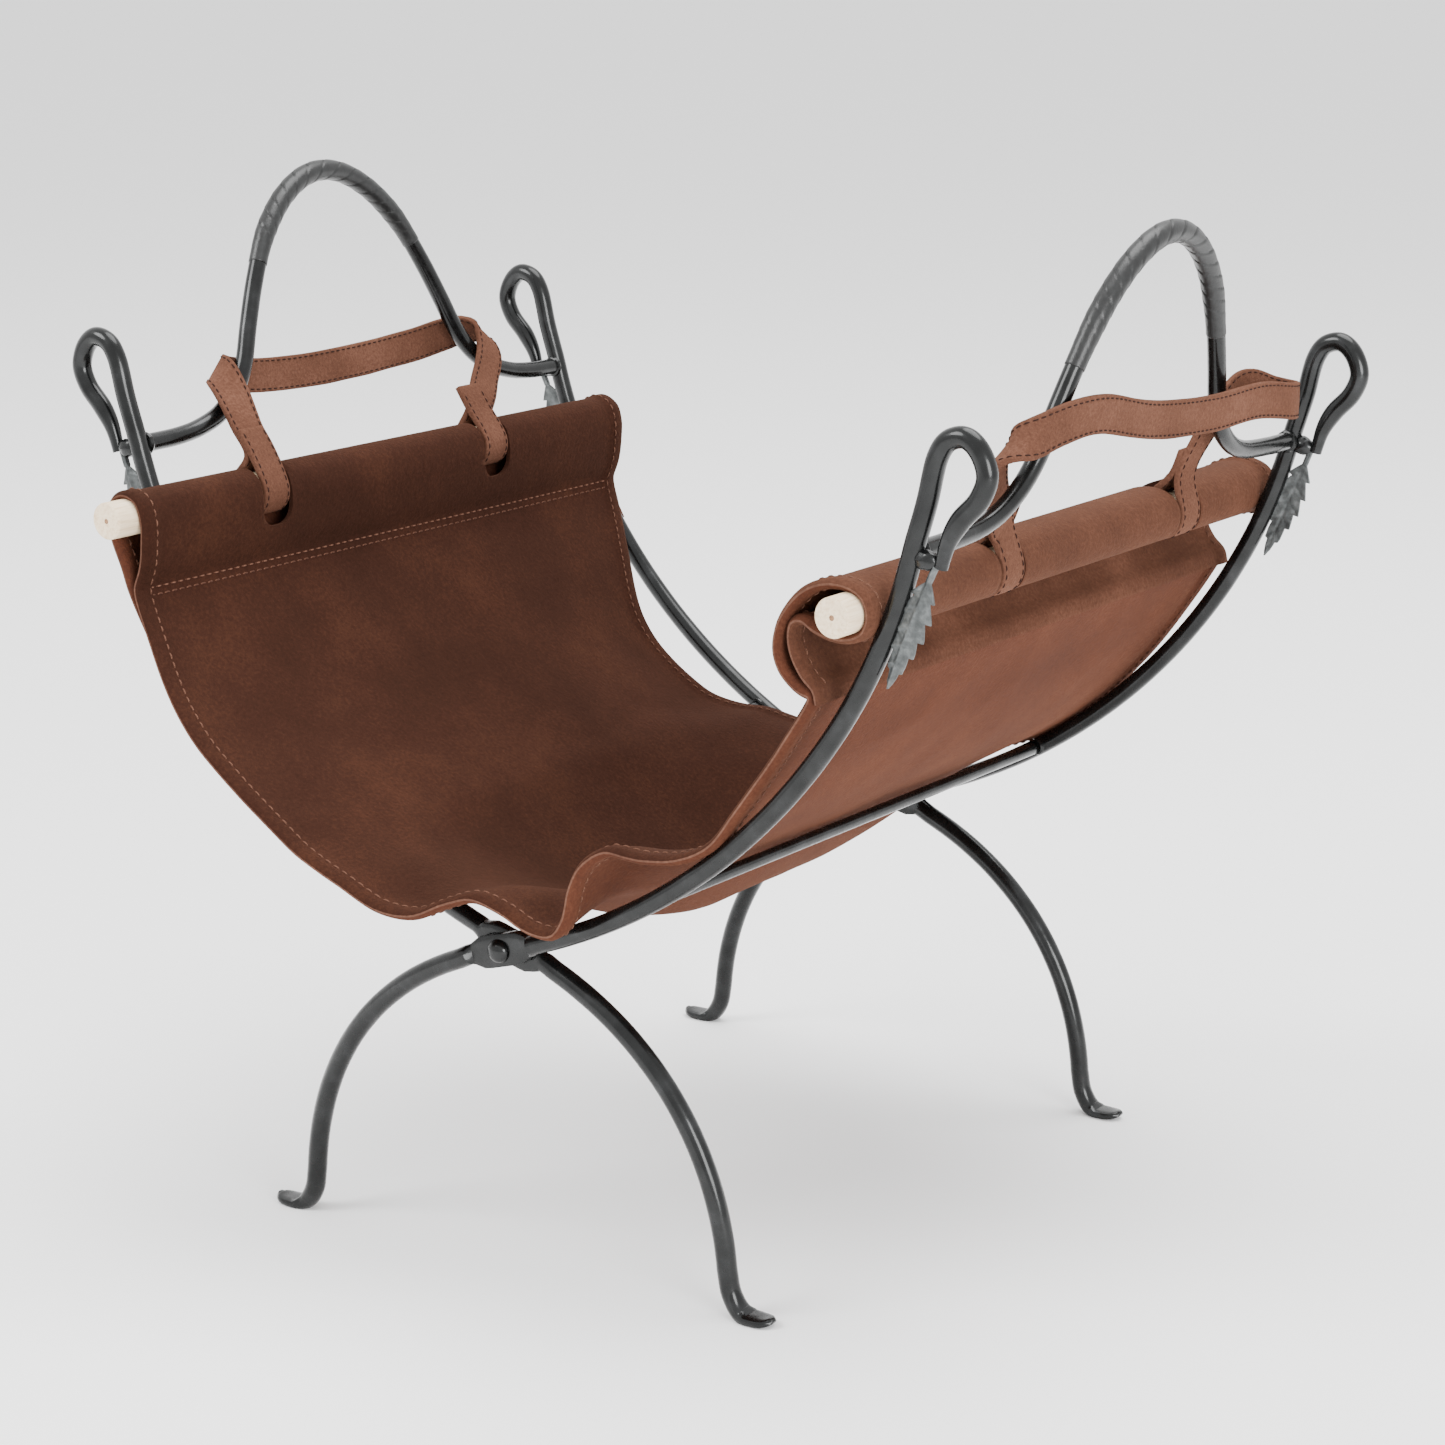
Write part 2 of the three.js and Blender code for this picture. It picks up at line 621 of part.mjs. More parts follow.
const RIGHT_ROUTE = [
  [-21, -70, -13, 0, 1, 0.1],
  [-15, -84, 0, 0, 1, 0.3],
  [-9, -98, 14, 0.1, 1, 0.4],
  [-2, -107, 26, 0.1, 1, 0.5],
  [7, -109, 33, 0.1, 0.8, 0.8],
  [14, -103, 37, 0, 0.5, 1],
  [18, -84, 41, 0, 0.15, 1],
  [20, -56, 42, 0.1, 0, 1],
  [19, -8, 38, 0.1, 0, 1],
  [18.5, 55, 32, 0.1, 0, 1],
  [18.5, 103, 28, 0.1, 0, 1],
  [17.5, 140, 23, 0, 0, 1],
  [12, 153, 22, 0, 0, 1],
  [5, 142, 25, 0, 0.15, 1],
  [0, 124, 30, 0, 0.5, 0.9],
  [-5, 109, 22, 0, -0.9, 0.5],
  [-12, 102.5, 7, 0, -1, 0.1],
  [-20, 101, -12, 0, -1, 0],
];

// Ring of a strap's flat section at one point of its route.
function strapRing(place, tangent, width) {
  const across = width.clone().addScaledVector(tangent, -width.dot(tangent)).normalize();
  const normal = new THREE.Vector3().crossVectors(tangent, across).normalize();
  const corners = [
    [1, 0.5],
    [0.94, 1],
    [-0.94, 1],
    [-1, 0.5],
    [-1, -0.5],
    [-0.94, -1],
    [0.94, -1],
    [1, -0.5],
  ];
  return corners.map(([a, b]) =>
    place
      .clone()
      .addScaledVector(across, (a * STRAP_WIDTH) / 2)
      .addScaledVector(normal, (b * STRAP_T) / 2),
  );
}

// The loop round a dowel, as route points: from the sewn-down free end, which lies inside the strap's first
// stretch, round under the dowel and up to that stretch.
function dowelLoop(first, second, y, widthY) {
  const radius = DOWEL_R + 1.5 * GAP + STRAP_T / 2;
  const sewn = at(first[0], first[2]);
  const onwards = at(second[0], second[2]);
  const rise = onwards.clone().sub(sewn).normalize();
  const inner = at(-rise.y, rise.x).multiplyScalar(STRAP_T + GAP);
  const freeEnd = sewn.clone().add(inner);
  const from = tangentAngle(dowelPlace, radius, freeEnd, 1);
  const to = tangentAngle(dowelPlace, radius, sewn, -1) + 2 * Math.PI;
  const round = arcPoints(dowelPlace, radius, from, to, 9);
  const tip = freeEnd.clone().addScaledVector(rise, 13);
  return [tip, freeEnd, ...round].map((p) => [p.x, y, p.y, 0, widthY, 0]);
}

function strap(side) {
  const route = (side > 0 ? RIGHT_ROUTE : LEFT_ROUTE).map(([out, y, up, ...width]) => [
    ARM_TOP_X + out,
    y,
    ARM_TOP_Z + up,
    ...width,
  ]);
  const slots = side > 0 ? RIGHT_SLOTS : LEFT_SLOTS;
  const near = dowelLoop(route[0], route[1], slots[0], 1);
  const far = dowelLoop(route.at(-1), route.at(-2), slots[1], -1);
  const points = [...near, ...route, ...far.toReversed()];
  const curve = new THREE.CatmullRomCurve3(
    points.map(([x, y, z]) => new THREE.Vector3(side * x, y, z)),
    false,
    "centripetal",
  );
  const widths = new THREE.CatmullRomCurve3(
    points.map((p) => new THREE.Vector3(side * p[3], p[4], p[5])),
    false,
    "centripetal",
  );
  const perPoint = 2;
  const steps = (points.length - 1) * perPoint;
  const rings = range(steps + 1).map((i) => {
    const t = i / steps;
    return strapRing(curve.getPoint(t), curve.getTangent(t), widths.getPoint(t));
  });
  return geometryOf(solid(loft(rings)));
}

// ---- The rack ----

const rack = new THREE.Group();
const ends = { near: -1, far: 1 };
for (const [place, end] of Object.entries(ends)) {
  rack.add(piece(`bar_a_${place}`, forgedBar(FRAME_A, end), STEEL));
  rack.add(piece(`bar_b_${place}`, forgedBar(FRAME_B, end), STEEL));
  rack.add(piece(`rivet_${place}`, rivet(end), STEEL));
}

const sides = { right: FRAME_A, left: FRAME_B };
for (const [name, frame] of Object.entries(sides)) {
  rack.add(piece(`stretcher_${name}`, stretcher(frame), STEEL));
  rack.add(piece(`hoop_${name}`, hoop(frame), STEEL));
  rack.add(piece(`grip_wrap_${name}`, gripWrap(frame), WRAP));
  rack.add(piece(`dowel_${name}`, dowel(frame), WOOD));
  rack.add(piece(`strap_${name}`, strap(frame), STRAP_LEATHER));
  for (const [place, end] of Object.entries(ends)) {
    rack.add(piece(`leaf_${name}_${place}`, leaf(frame, end), LEAF_METAL));
  }
}

const cuts = [...LEFT_SLOTS.map((y) => slot(-1, y)), ...RIGHT_SLOTS.map((y) => slot(1, y))];
const sewn = slingSolid().add(seam(-1)).add(seam(1));
rack.add(piece("sling_panel", geometryOf(cuts.reduce((left, cut) => left.subtract(cut), sewn)), SUEDE));

// The origin is under the middle of the whole rack, on the surface that it stands on.
const box = new THREE.Box3().setFromObject(rack);
const centre = box.getCenter(new THREE.Vector3());
rack.children.forEach((child) => child.position.set(-centre.x, -centre.y, -box.min.z));

const part = new THREE.Group();
part.add(rack);

export default part;
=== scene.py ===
"""Looks of a folding magazine rack: forged black bars, a suede sling on wooden dowels, wrapped bar handles,
leather straps and leaf ornaments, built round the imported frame.

Shapes are worked out in millimetres, with Y counted from the middle plane between the two ends of the frame,
and turned into metres as each mesh is made."""

import json
import math

import bpy
import numpy as np
from mathutils import Matrix, Vector, noise


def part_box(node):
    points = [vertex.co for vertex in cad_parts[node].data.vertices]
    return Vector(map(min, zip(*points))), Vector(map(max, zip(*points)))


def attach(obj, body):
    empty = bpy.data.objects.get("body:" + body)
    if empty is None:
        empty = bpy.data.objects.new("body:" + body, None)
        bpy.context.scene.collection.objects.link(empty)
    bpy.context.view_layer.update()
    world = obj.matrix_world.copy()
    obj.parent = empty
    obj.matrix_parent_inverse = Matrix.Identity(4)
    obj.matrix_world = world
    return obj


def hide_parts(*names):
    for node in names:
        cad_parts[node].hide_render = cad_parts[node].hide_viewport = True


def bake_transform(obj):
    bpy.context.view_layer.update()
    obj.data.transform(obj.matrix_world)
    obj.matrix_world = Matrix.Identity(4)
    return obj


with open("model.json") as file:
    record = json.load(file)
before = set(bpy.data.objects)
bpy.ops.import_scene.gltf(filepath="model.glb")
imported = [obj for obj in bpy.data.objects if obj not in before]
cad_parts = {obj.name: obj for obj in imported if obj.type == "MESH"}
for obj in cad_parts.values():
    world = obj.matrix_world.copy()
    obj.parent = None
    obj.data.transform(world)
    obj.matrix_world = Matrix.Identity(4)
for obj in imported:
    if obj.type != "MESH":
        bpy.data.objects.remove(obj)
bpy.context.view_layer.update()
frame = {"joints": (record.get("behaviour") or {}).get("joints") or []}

MM = 0.001


def box_mm(node):
    """Lowest and highest corners of a CAD node, in millimetres."""
    low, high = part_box(node)
    return np.array(low) / MM, np.array(high) / MM


# ---- Sizes that come from the frame, in millimetres ----

STRETCHER_LOW, STRETCHER_HIGH = box_mm("stretcher_right")
MIDDLE_Y = (STRETCHER_LOW[1] + STRETCHER_HIGH[1]) / 2
STRETCHER_R = (STRETCHER_HIGH[2] - STRETCHER_LOW[2]) / 2
DOWEL_LOW, DOWEL_HIGH = box_mm("dowel_right")
DOWEL_R = (DOWEL_HIGH[2] - DOWEL_LOW[2]) / 2
DOWEL_PLACE = (DOWEL_LOW + DOWEL_HIGH)[[0, 2]] / 2
PIVOT = np.array([0.0, frame["joints"][0]["pos_m"][2] / MM])

# ---- Sizes of the forging, as the frame has them ----

LEG_R = 5.0
ARM_R = 4.75
HOOP_R = 4.5
HAMMER_DEPTH = 0.012
RIVET_R = 3.5
RIVET_HEAD_R = 5.9
RIVET_HEAD_H = 4.2
GAP = 0.3
PLATE_T = 6.4
PLATE_HALF_WIDTH = 8.2
PLATE_LENGTH = 38.0
HALF_DEPTH = 177.0
MATING = HALF_DEPTH - LEG_R - GAP / 2
ANKLE = np.array([124.0, 24.0])
TOE_REACH = 27.0
PAD_HALF_WIDTH = 6.7
PAD_HALF_T = 2.2
ARM_TOP = np.array([231.0, 383.0])
EYE_RISE = 49.0
EYE_REACH = 36.0
HOOP_WELD_Z = 380.0
HOOP_TOP_Z = 500.0
HOOP_LEAN = math.radians(10.9)
LEAF_LENGTH = 60.0
LEAF_HALF_WIDTH = 8.5

# Frame A's arms are on the right and its legs on the left; frame B is its mirror image just inside it.
FRAMES = {
    "a": {
        "sign": 1,
        "side": "right",
        "body": "frame_a",
        "bar_y": HALF_DEPTH,
        "plate_y": MATING + (GAP + PLATE_T) / 2,
    },
    "b": {
        "sign": -1,
        "side": "left",
        "body": "frame_b",
        "bar_y": MATING - GAP / 2 - LEG_R,
        "plate_y": MATING - (GAP + PLATE_T) / 2,
    },
}
ENDS = {"near": -1, "far": 1}


# ---- Small helpers ----


def lerp(a, b, t):
    return a + (b - a) * t


def smooth(value, low, high):
    t = np.clip((value - low) / (high - low), 0, 1)
    return t * t * (3 - 2 * t)


def bezier(points, t):
    """Points of a cubic Bezier curve at the parameters t."""
    p0, p1, p2, p3 = (np.asarray(p, float) for p in points)
    t = np.asarray(t, float)[:, None]
    u = 1 - t
    return u**3 * p0 + 3 * u * u * t * p1 + 3 * u * t * t * p2 + t**3 * p3


def spline(points, per_span=12):
    """Centripetal Catmull-Rom curve through points of any dimension."""
    p = np.asarray(points, float)
    p = np.vstack([2 * p[0] - p[1], p, 2 * p[-1] - p[-2]])
    out = []
    for a, b, c, d in zip(p[:-3], p[1:-2], p[2:-1], p[3:]):
        t1 = max(np.linalg.norm(b - a), 1e-6) ** 0.5
        t2 = t1 + max(np.linalg.norm(c - b), 1e-6) ** 0.5
        t3 = t2 + max(np.linalg.norm(d - c), 1e-6) ** 0.5
        for k in range(per_span):
            t = lerp(t1, t2, k / per_span)
            a1 = (t1 - t) / t1 * a + t / t1 * b
            a2 = (t2 - t) / (t2 - t1) * b + (t - t1) / (t2 - t1) * c
            a3 = (t3 - t) / (t3 - t2) * c + (t - t2) / (t3 - t2) * d
            b1 = (t2 - t) / t2 * a1 + t / t2 * a2
            b2 = (t3 - t) / (t3 - t1) * a2 + (t - t1) / (t3 - t1) * a3
            out.append((t2 - t) / (t2 - t1) * b1 + (t - t1) / (t2 - t1) * b2)
    out.append(p[-2])
    return np.array(out)


def arclength(points):
    steps = np.linalg.norm(np.diff(points, axis=0), axis=1)
    return np.concatenate([[0], np.cumsum(steps)])


def resample(points, count):
    """The same line with evenly spaced points."""
    s = arclength(points)
    at = np.linspace(0, s[-1], count)
    return np.stack([np.interp(at, s, points[:, k]) for k in range(points.shape[1])], axis=1)


def directions(points):
    d = np.gradient(points, axis=0)
    return d / np.maximum(np.linalg.norm(d, axis=1, keepdims=True), 1e-9)


def unit(v):
    v = np.asarray(v, float)
    return v / max(np.linalg.norm(v), 1e-9)


def turn(v):
    """A direction in the XZ plane, turned a quarter turn to its left."""
    return np.stack([-v[..., 1], v[..., 0]], axis=-1)


def make_object(name, points, faces, smooth_faces=True):
    """Mesh object from points in millimetres, Y counted from the frame's middle plane."""
    place = np.asarray(points, float).copy()
    place[:, 1] += MIDDLE_Y
    mesh = bpy.data.meshes.new(name)
    mesh.from_pydata((place * MM).tolist(), [], faces)
    mesh.validate()
    mesh.update()
    mesh.polygons.foreach_set("use_smooth", [smooth_faces] * len(mesh.polygons))
    obj = bpy.data.objects.new(name, mesh)
    bpy.context.scene.collection.objects.link(obj)
    return obj


class Build:
    """Points and faces of one piece, gathered from several closed bodies."""

    def __init__(self):
        self.points = []
        self.faces = []

    def add(self, points, faces):
        base = len(self.points)
        self.points.extend(np.asarray(points, float).tolist())
        self.faces.extend([[base + i for i in face] for face in faces])

    def loft(self, rings):
        """Closed body through a list of rings of equal count."""
        rings = [np.asarray(ring, float) for ring in rings]
        count = len(rings[0])
        faces = []
        for r in range(len(rings) - 1):
            low = r * count
            for i in range(count):
                j = (i + 1) % count
                faces.append([low + i, low + j, low + count + j, low + count + i])
        last = (len(rings) - 1) * count
        faces.append(list(range(count))[::-1])
        faces.append([last + i for i in range(count)])
        points = np.vstack(rings)
        if signed_volume(points, faces) < 0:
            faces = [face[::-1] for face in faces]
        self.add(points, faces)

    def object(self, name, smooth_faces=True):
        return make_object(name, self.points, self.faces, smooth_faces)


def signed_volume(points, faces):
    total = 0.0
    for face in faces:
        a = points[face[0]]
        for k in range(1, len(face) - 1):
            total += np.dot(a, np.cross(points[face[k]], points[face[k + 1]]))
    return total


def circle(count):
    angle = (np.arange(count) + 0.5) / count * 2 * np.pi
    return np.cos(angle), np.sin(angle)


# ---- Materials ----


def linear(hex_colour):
    """sRGB hex colour as linear RGBA."""
    channels = [int(hex_colour[i : i + 2], 16) / 255 for i in (1, 3, 5)]
    return [c / 12.92 if c <= 0.04045 else ((c + 0.055) / 1.055) ** 2.4 for c in channels] + [1.0]


def add_node(tree, kind, settings=None, links=None):
    """Adds a node. settings are its properties and its sockets' values, links its inputs' sources."""
    made = tree.nodes.new(kind)
    for key, value in (settings or {}).items():
        if isinstance(key, str) and hasattr(made, key):
            setattr(made, key, value)
        else:
            made.inputs[key].default_value = value
    for key, source in (links or {}).items():
        tree.links.new(source, made.inputs[key])
    return made


def new_material(name, settings):
    """A material with one Principled shader, its tree, the shader, and the piece's own coordinates."""
    material = bpy.data.materials.new(name)
    material.use_nodes = True
    tree = material.node_tree
    shader = tree.nodes["Principled BSDF"]
    for key, value in settings.items():
        shader.inputs[key].default_value = value
    place = add_node(tree, "ShaderNodeTexCoord").outputs["Object"]
    return material, tree, shader, place


def paint(tree, shader, factor, stops):
    """Base colour from a ramp of (place, hex colour) stops."""
    made = add_node(tree, "ShaderNodeValToRGB", {}, {"Fac": factor})
    elements = made.color_ramp.elements
    while len(elements) < len(stops):
        elements.new(0.5)
    for element, (place, colour) in zip(elements, stops):
        element.position = place
        element.color = linear(colour)
    tree.links.new(made.outputs["Color"], shader.inputs["Base Color"])


def bump(tree, shader, height, distance, strength=1.0):
    made = add_node(tree, "ShaderNodeBump", {"Distance": distance, "Strength": strength}, {"Height": height})
    tree.links.new(made.outputs["Normal"], shader.inputs["Normal"])


def noise_node(tree, place, size_mm, detail=3.0, roughness=0.55):
    """Noise whose blotches are about size_mm across."""
    settings = {"Scale": 1 / (size_mm * MM), "Detail": detail, "Roughness": roughness}
    return add_node(tree, "ShaderNodeTexNoise", settings, {"Vector": place}).outputs["Fac"]


def forged_steel():
    """Forged mild steel, oiled black: a thin dark skin of scale, satin, with hammer flats of 8 to 12 mm and
    paler rubbed spots."""
    material, tree, shader, place = new_material(
        "forged_blackened_steel",
        {
            "Metallic": 0.7,
            "IOR": 1.5,
            "Specular IOR Level": 0.4,
            "Coat Weight": 0.25,
            "Coat Roughness": 0.08,
        },
    )
    scale = noise_node(tree, place, 14, 4)
    paint(tree, shader, scale, [(0.3, "#0f1010"), (0.55, "#1b1c1c"), (0.8, "#2c2d2e")])
    dents = noise_node(tree, place, 5)
    rough = add_node(tree, "ShaderNodeMapRange", {"To Min": 0.16, "To Max": 0.38}, {"Value": dents})
    tree.links.new(rough.outputs["Result"], shader.inputs["Roughness"])
    hammer = noise_node(tree, place, 9, 2, 0.4)
    bump(tree, shader, hammer, 0.0006, 0.35)
    return material


def leaf_metal():
    """Pressed steel leaf, rubbed with pewter wax: matt grey in uneven patches."""
    material, tree, shader, place = new_material(
        "pressed_leaf_pewter", {"Metallic": 0.6, "Roughness": 0.5, "IOR": 1.5}
    )
    patina = noise_node(tree, place, 4, 5)
    paint(tree, shader, patina, [(0.25, "#303232"), (0.5, "#4c4f4f"), (0.75, "#6a6d6d")])
    bump(tree, shader, noise_node(tree, place, 1.2), 0.0002, 0.25)
    return material


def grip_band():
    """Black waxed band wound in a spiral over the bar: satin, a little softer than the steel."""
    material, tree, shader, place = new_material(
        "waxed_grip_band", {"Roughness": 0.36, "IOR": 1.5, "Metallic": 0.25}
    )
    grain = noise_node(tree, place, 3, 4)
    paint(tree, shader, grain, [(0.3, "#141414"), (0.7, "#202121")])
    bump(tree, shader, noise_node(tree, place, 0.8), 0.0002, 0.4)
    return material


def suede(name, stops, nap_mm=1.9):
    """Brushed split cowhide: no gloss, a soft nap with fibres under a millimetre, drawn coarser so that it
    shows, and blotches a few centimetres wide where the nap lies the other way."""
    material, tree, shader, place = new_material(
        name,
        {
            "Roughness": 0.95,
            "IOR": 1.45,
            "Specular IOR Level": 0.06,
            "Sheen Weight": 0.12,
            "Sheen Roughness": 0.5,
            "Sheen Tint": linear("#b87f62"),
        },
    )
    blotch = noise_node(tree, place, 60, 4, 0.6)
    nap = noise_node(tree, place, nap_mm, 4, 0.7)
    mixed = add_node(tree, "ShaderNodeMix", {"data_type": "FLOAT", "Factor": 0.52}, {"A": blotch, "B": nap})
    paint(tree, shader, mixed.outputs["Result"], stops)
    bump(tree, shader, nap, 0.0009, 0.6)
    return material


def beech():
    """Unfinished beech dowel: pale, matt, with fine grain along its length."""
    material, tree, shader, place = new_material("raw_beech", {"Roughness": 0.7, "IOR": 1.5})
    along = add_node(tree, "ShaderNodeMapping", {"Scale": (1.0, 0.06, 1.0)}, {"Vector": place})
    grain = noise_node(tree, along.outputs["Vector"], 1.6, 5, 0.65)
    paint(tree, shader, grain, [(0.3, "#c9ad87"), (0.5, "#dfc8a8"), (0.75, "#ead8bd")])
    bump(tree, shader, grain, 0.0002, 0.4)
    return material


def pith():
    """Centre mark left by the turning lathe in the end of a dowel."""
    material, tree, shader, place = new_material("lathe_mark", {"Roughness": 0.8})
    tone = noise_node(tree, place, 1.0)
    paint(tree, shader, tone, [(0.3, "#6f5039"), (0.7, "#9c7757")])
    return material


def waxed_thread(name, colour, dark):
    """Waxed polyester thread: twisted, matt, with painted shade as darker stripes in the grooves of the
    twist.
    """
    material, tree, shader, place = new_material(
        name, {"Roughness": 0.85, "IOR": 1.5, "Specular IOR Level": 0.12}
    )
    # Stripes along the twist: painted shade in the grooves between the strands, drawn in the darker colour.
    twist = add_node(tree, "ShaderNodeTexWave", {"Scale": 700.0, "Distortion": 1.0}, {"Vector": place})
    paint(tree, shader, twist.outputs["Fac"], [(0.2, dark), (0.8, colour)])
    return material


STEEL = forged_steel()
LEAF = leaf_metal()
BAND = grip_band()
# One suede in three tones that stand in for light and shade: the inner face is painted darker as shade, and
# the outer face and the right hem's turned-over roll are painted lighter as light falling on them.
SUEDE_INSIDE_PAINTED_SHADE = suede("brushed_suede_inside_painted_shade", [(0.3, "#22120c"), (0.5, "#2d1912"), (0.7, "#3d2419")])
SUEDE_OUTSIDE_PAINTED_LIGHT = suede("brushed_suede_outside_painted_light", [(0.3, "#37201a"), (0.5, "#46281d"), (0.7, "#563426")])
SUEDE_ROLL_PAINTED_LIGHT = suede("brushed_suede_roll_painted_light", [(0.3, "#36211a"), (0.5, "#462c21"), (0.7, "#58392c")])
# Cut edge tone: lighter partly from the raw cut fibres and partly as painted light along the edge.
SUEDE_CUT_EDGE_AND_LIGHT = suede("cut_suede_edge_and_painted_light", [(0.3, "#422c24"), (0.5, "#563b30"), (0.7, "#6b4d40")])
STRAP_SUEDE = suede("strap_suede", [(0.3, "#40291f"), (0.5, "#55382c"), (0.7, "#6b4a3c")], 1.4)
BEECH = beech()
PITH = pith()
THREAD = waxed_thread("waxed_thread_brown", "#6d4c3d", "#42291f")
THREAD_DARK = waxed_thread("waxed_thread_dark", "#301c15", "#1e120e")


def crisp(obj, degrees):
    """Keeps the edges between faces that meet at more than this angle sharp."""
    obj.data.set_sharp_from_angle(angle=math.radians(degrees))
    return obj


def finish_piece(obj, body, slot, materials, *nodes):
    for material in materials:
        obj.data.materials.append(material)
    if body:
        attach(obj, body)
    if nodes:
        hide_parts(*nodes)
    return obj


# ---- Forged bars ----

ARM_BEZIER = [
    PIVOT,
    [ARM_TOP[0] * 0.478, lerp(PIVOT[1], ARM_TOP[1], 0.143)],
    [ARM_TOP[0] * 0.885, lerp(PIVOT[1], ARM_TOP[1], 0.517)],
    ARM_TOP,
]
LEG_BEZIER = [
    PIVOT,
    [-ANKLE[0] * 0.605, lerp(PIVOT[1], ANKLE[1], 0.152)],
    [-ANKLE[0] * 0.952, lerp(PIVOT[1], ANKLE[1], 0.522)],
    [-ANKLE[0], ANKLE[1]],
]
ARM_FINE = bezier(ARM_BEZIER, np.linspace(0, 1, 400))
ARM_FINE_DIRECTION = directions(ARM_FINE)
EYE_SHARES = [
    [0, 0], [0.17, 0.4], [0.31, 0.8], [0.45, 0.94], [0.68, 0.98],
    [0.87, 0.88], [0.98, 0.67], [0.88, 0.47], [0.63, 0.27], [0.47, 0.08],
    [0.37, -0.16],
]
EYE_LINE = spline(ARM_TOP + np.array(EYE_SHARES) * [EYE_REACH, EYE_RISE], 14)


def arm_index(axis, value):
    """Index in ARM_FINE where the arm passes a distance across (axis 0) or a height (axis 1)."""
    return int(np.clip(np.searchsorted(ARM_FINE[:, axis], value), 0, len(ARM_FINE) - 1))


def inside_arm(index, offset):
    """Point at a distance from the arm's centre line, on its inner, upper side."""
    return ARM_FINE[index] + turn(ARM_FINE_DIRECTION[index]) * offset


def bar_line(frame_row):
    """Stations of a bar from toe to eye end: x, z, half-thickness in its plane, half-width along Y, shift
    along Y, squareness from 0 for round to 1 for a rectangle."""
    rows = []
    toe_x = -ANKLE[0] - TOE_REACH
    for share in np.linspace(0, 1, 9):
        curl = math.sin(share * math.pi / 2)
        x = toe_x + 0.7 + (1 - math.cos(share * math.pi / 2)) * 8.0
        z = PAD_HALF_T + 2.8 * (1 - share) ** 2
        thick = PAD_HALF_T * (0.25 + 0.75 * curl**0.5)
        wide = PAD_HALF_WIDTH * max(curl, 0.12) ** 0.8
        rows.append([x, z, thick, wide, 0, 0.55])
    pad_end_x = -ANKLE[0] - TOE_REACH * 0.6
    pad_start_x = -ANKLE[0] - TOE_REACH * 0.48
    rows.append([pad_end_x, PAD_HALF_T, PAD_HALF_T, PAD_HALF_WIDTH, 0, 0.7])
    rows.append([pad_start_x, PAD_HALF_T, PAD_HALF_T, PAD_HALF_WIDTH, 0, 0.7])
    foot = spline(
        [
            [pad_start_x, PAD_HALF_T],
            [-ANKLE[0] - TOE_REACH * 0.3, PAD_HALF_T * 1.7],
            [-ANKLE[0] - TOE_REACH * 0.09, ANKLE[1] * 0.5],
            [-ANKLE[0], ANKLE[1]],
        ],
        6,
    )[2:-2]
    for share, place in zip(np.linspace(0.93, 0.05, len(foot)), foot):
        thick = lerp(LEG_R, PAD_HALF_T + 0.3, share**3)
        wide = lerp(LEG_R, PAD_HALF_WIDTH, share**2)
        rows.append([*place, thick, wide, 0, 0.7 * share**3])
    leg = bezier(LEG_BEZIER, np.linspace(1, 0, 120))
    leg_left = arclength(leg[::-1])[::-1]
    plate_half = PLATE_LENGTH / 2
    for place in leg[leg_left > plate_half * 1.15][::3]:
        rows.append([*place, LEG_R, LEG_R, 0, 0])
    along = unit(ARM_FINE[1] - ARM_FINE[0])
    shift = frame_row["plate_y"] - frame_row["bar_y"]
    for share in [-1.04, -0.98, -0.9, -0.78, -0.62, -0.4, 0, 0.4, 0.62, 0.78, 0.9, 0.98, 1.04]:
        flat = 1 - smooth(abs(share), 0.9, 1.06)
        width = lerp(PLATE_HALF_WIDTH, LEG_R, smooth(abs(share), 0.52, 1.0))
        thick = lerp(LEG_R, PLATE_T / 2, flat)
        place = PIVOT + along * share * plate_half
        rows.append([*place, width, thick, shift * flat, 0.86 * flat])
    arm_s = arclength(ARM_FINE)
    for place in ARM_FINE[arm_s > plate_half * 1.15][::5]:
        rows.append([*place, ARM_R, ARM_R, 0, 0])
    eye = EYE_LINE[2::2]
    for k, place in enumerate(eye):
        drawn_out = 1 - 0.36 * smooth(k, len(eye) - 16, len(eye) - 1)
        rows.append([*place, ARM_R * drawn_out, ARM_R * drawn_out, 0, 0])
    return np.array(rows)


def bead(build, centre, normal, radius, thickness, seed):
    """A lumpy weld bead round a bar: a ring across the given direction."""
    normal = unit(normal)
    side = unit(np.cross(normal, [0.3, 0.2, 0.9]))
    other = np.cross(normal, side)
    around, section = 28, 8
    points = []
    for i in range(around):
        angle = i / around * 2 * math.pi
        out = math.cos(angle) * side + math.sin(angle) * other
        wobble = 1 + 0.22 * noise.noise(Vector((math.cos(angle) * 2.2, math.sin(angle) * 2.2, seed * 3.7)))
        for j in range(section):
            turn_angle = j / section * 2 * math.pi
            reach = radius + thickness * wobble * math.cos(turn_angle)
            points.append(centre + out * reach + normal * thickness * wobble * math.sin(turn_angle))
    faces = []
    for i in range(around):
        for j in range(section):
            a, b = i * section + j, i * section + (j + 1) % section
            c, d = ((i + 1) % around) * section + (j + 1) % section, ((i + 1) % around) * section + j
            faces.append([a, d, c, b])
    points = np.array(points)
    if signed_volume(points, faces) < 0:
        faces = [face[::-1] for face in faces]
    build.add(points, faces)


def blob(build, centre, radii, seed, tilt=0.0):
    """A lump of weld metal: an uneven ellipsoid, tilted in the XZ plane."""
    rings, sides = 12, 20
    c, s = math.cos(tilt), math.sin(tilt)
    rows = []
    for r in range(1, rings):
        polar = math.pi * r / rings
        ring = []
        for k in range(sides):
            angle = 2 * math.pi * k / sides
            level = math.sin(polar)
            d = np.array([level * math.cos(angle), level * math.sin(angle), math.cos(polar)])
            lump = 1 + 0.16 * noise.noise(Vector(d * 2.1 + seed))
            p = d * radii * lump
            ring.append(centre + np.array([c * p[0] - s * p[2], p[1], s * p[0] + c * p[2]]))
        rows.append(ring)
    build.loft(rows)


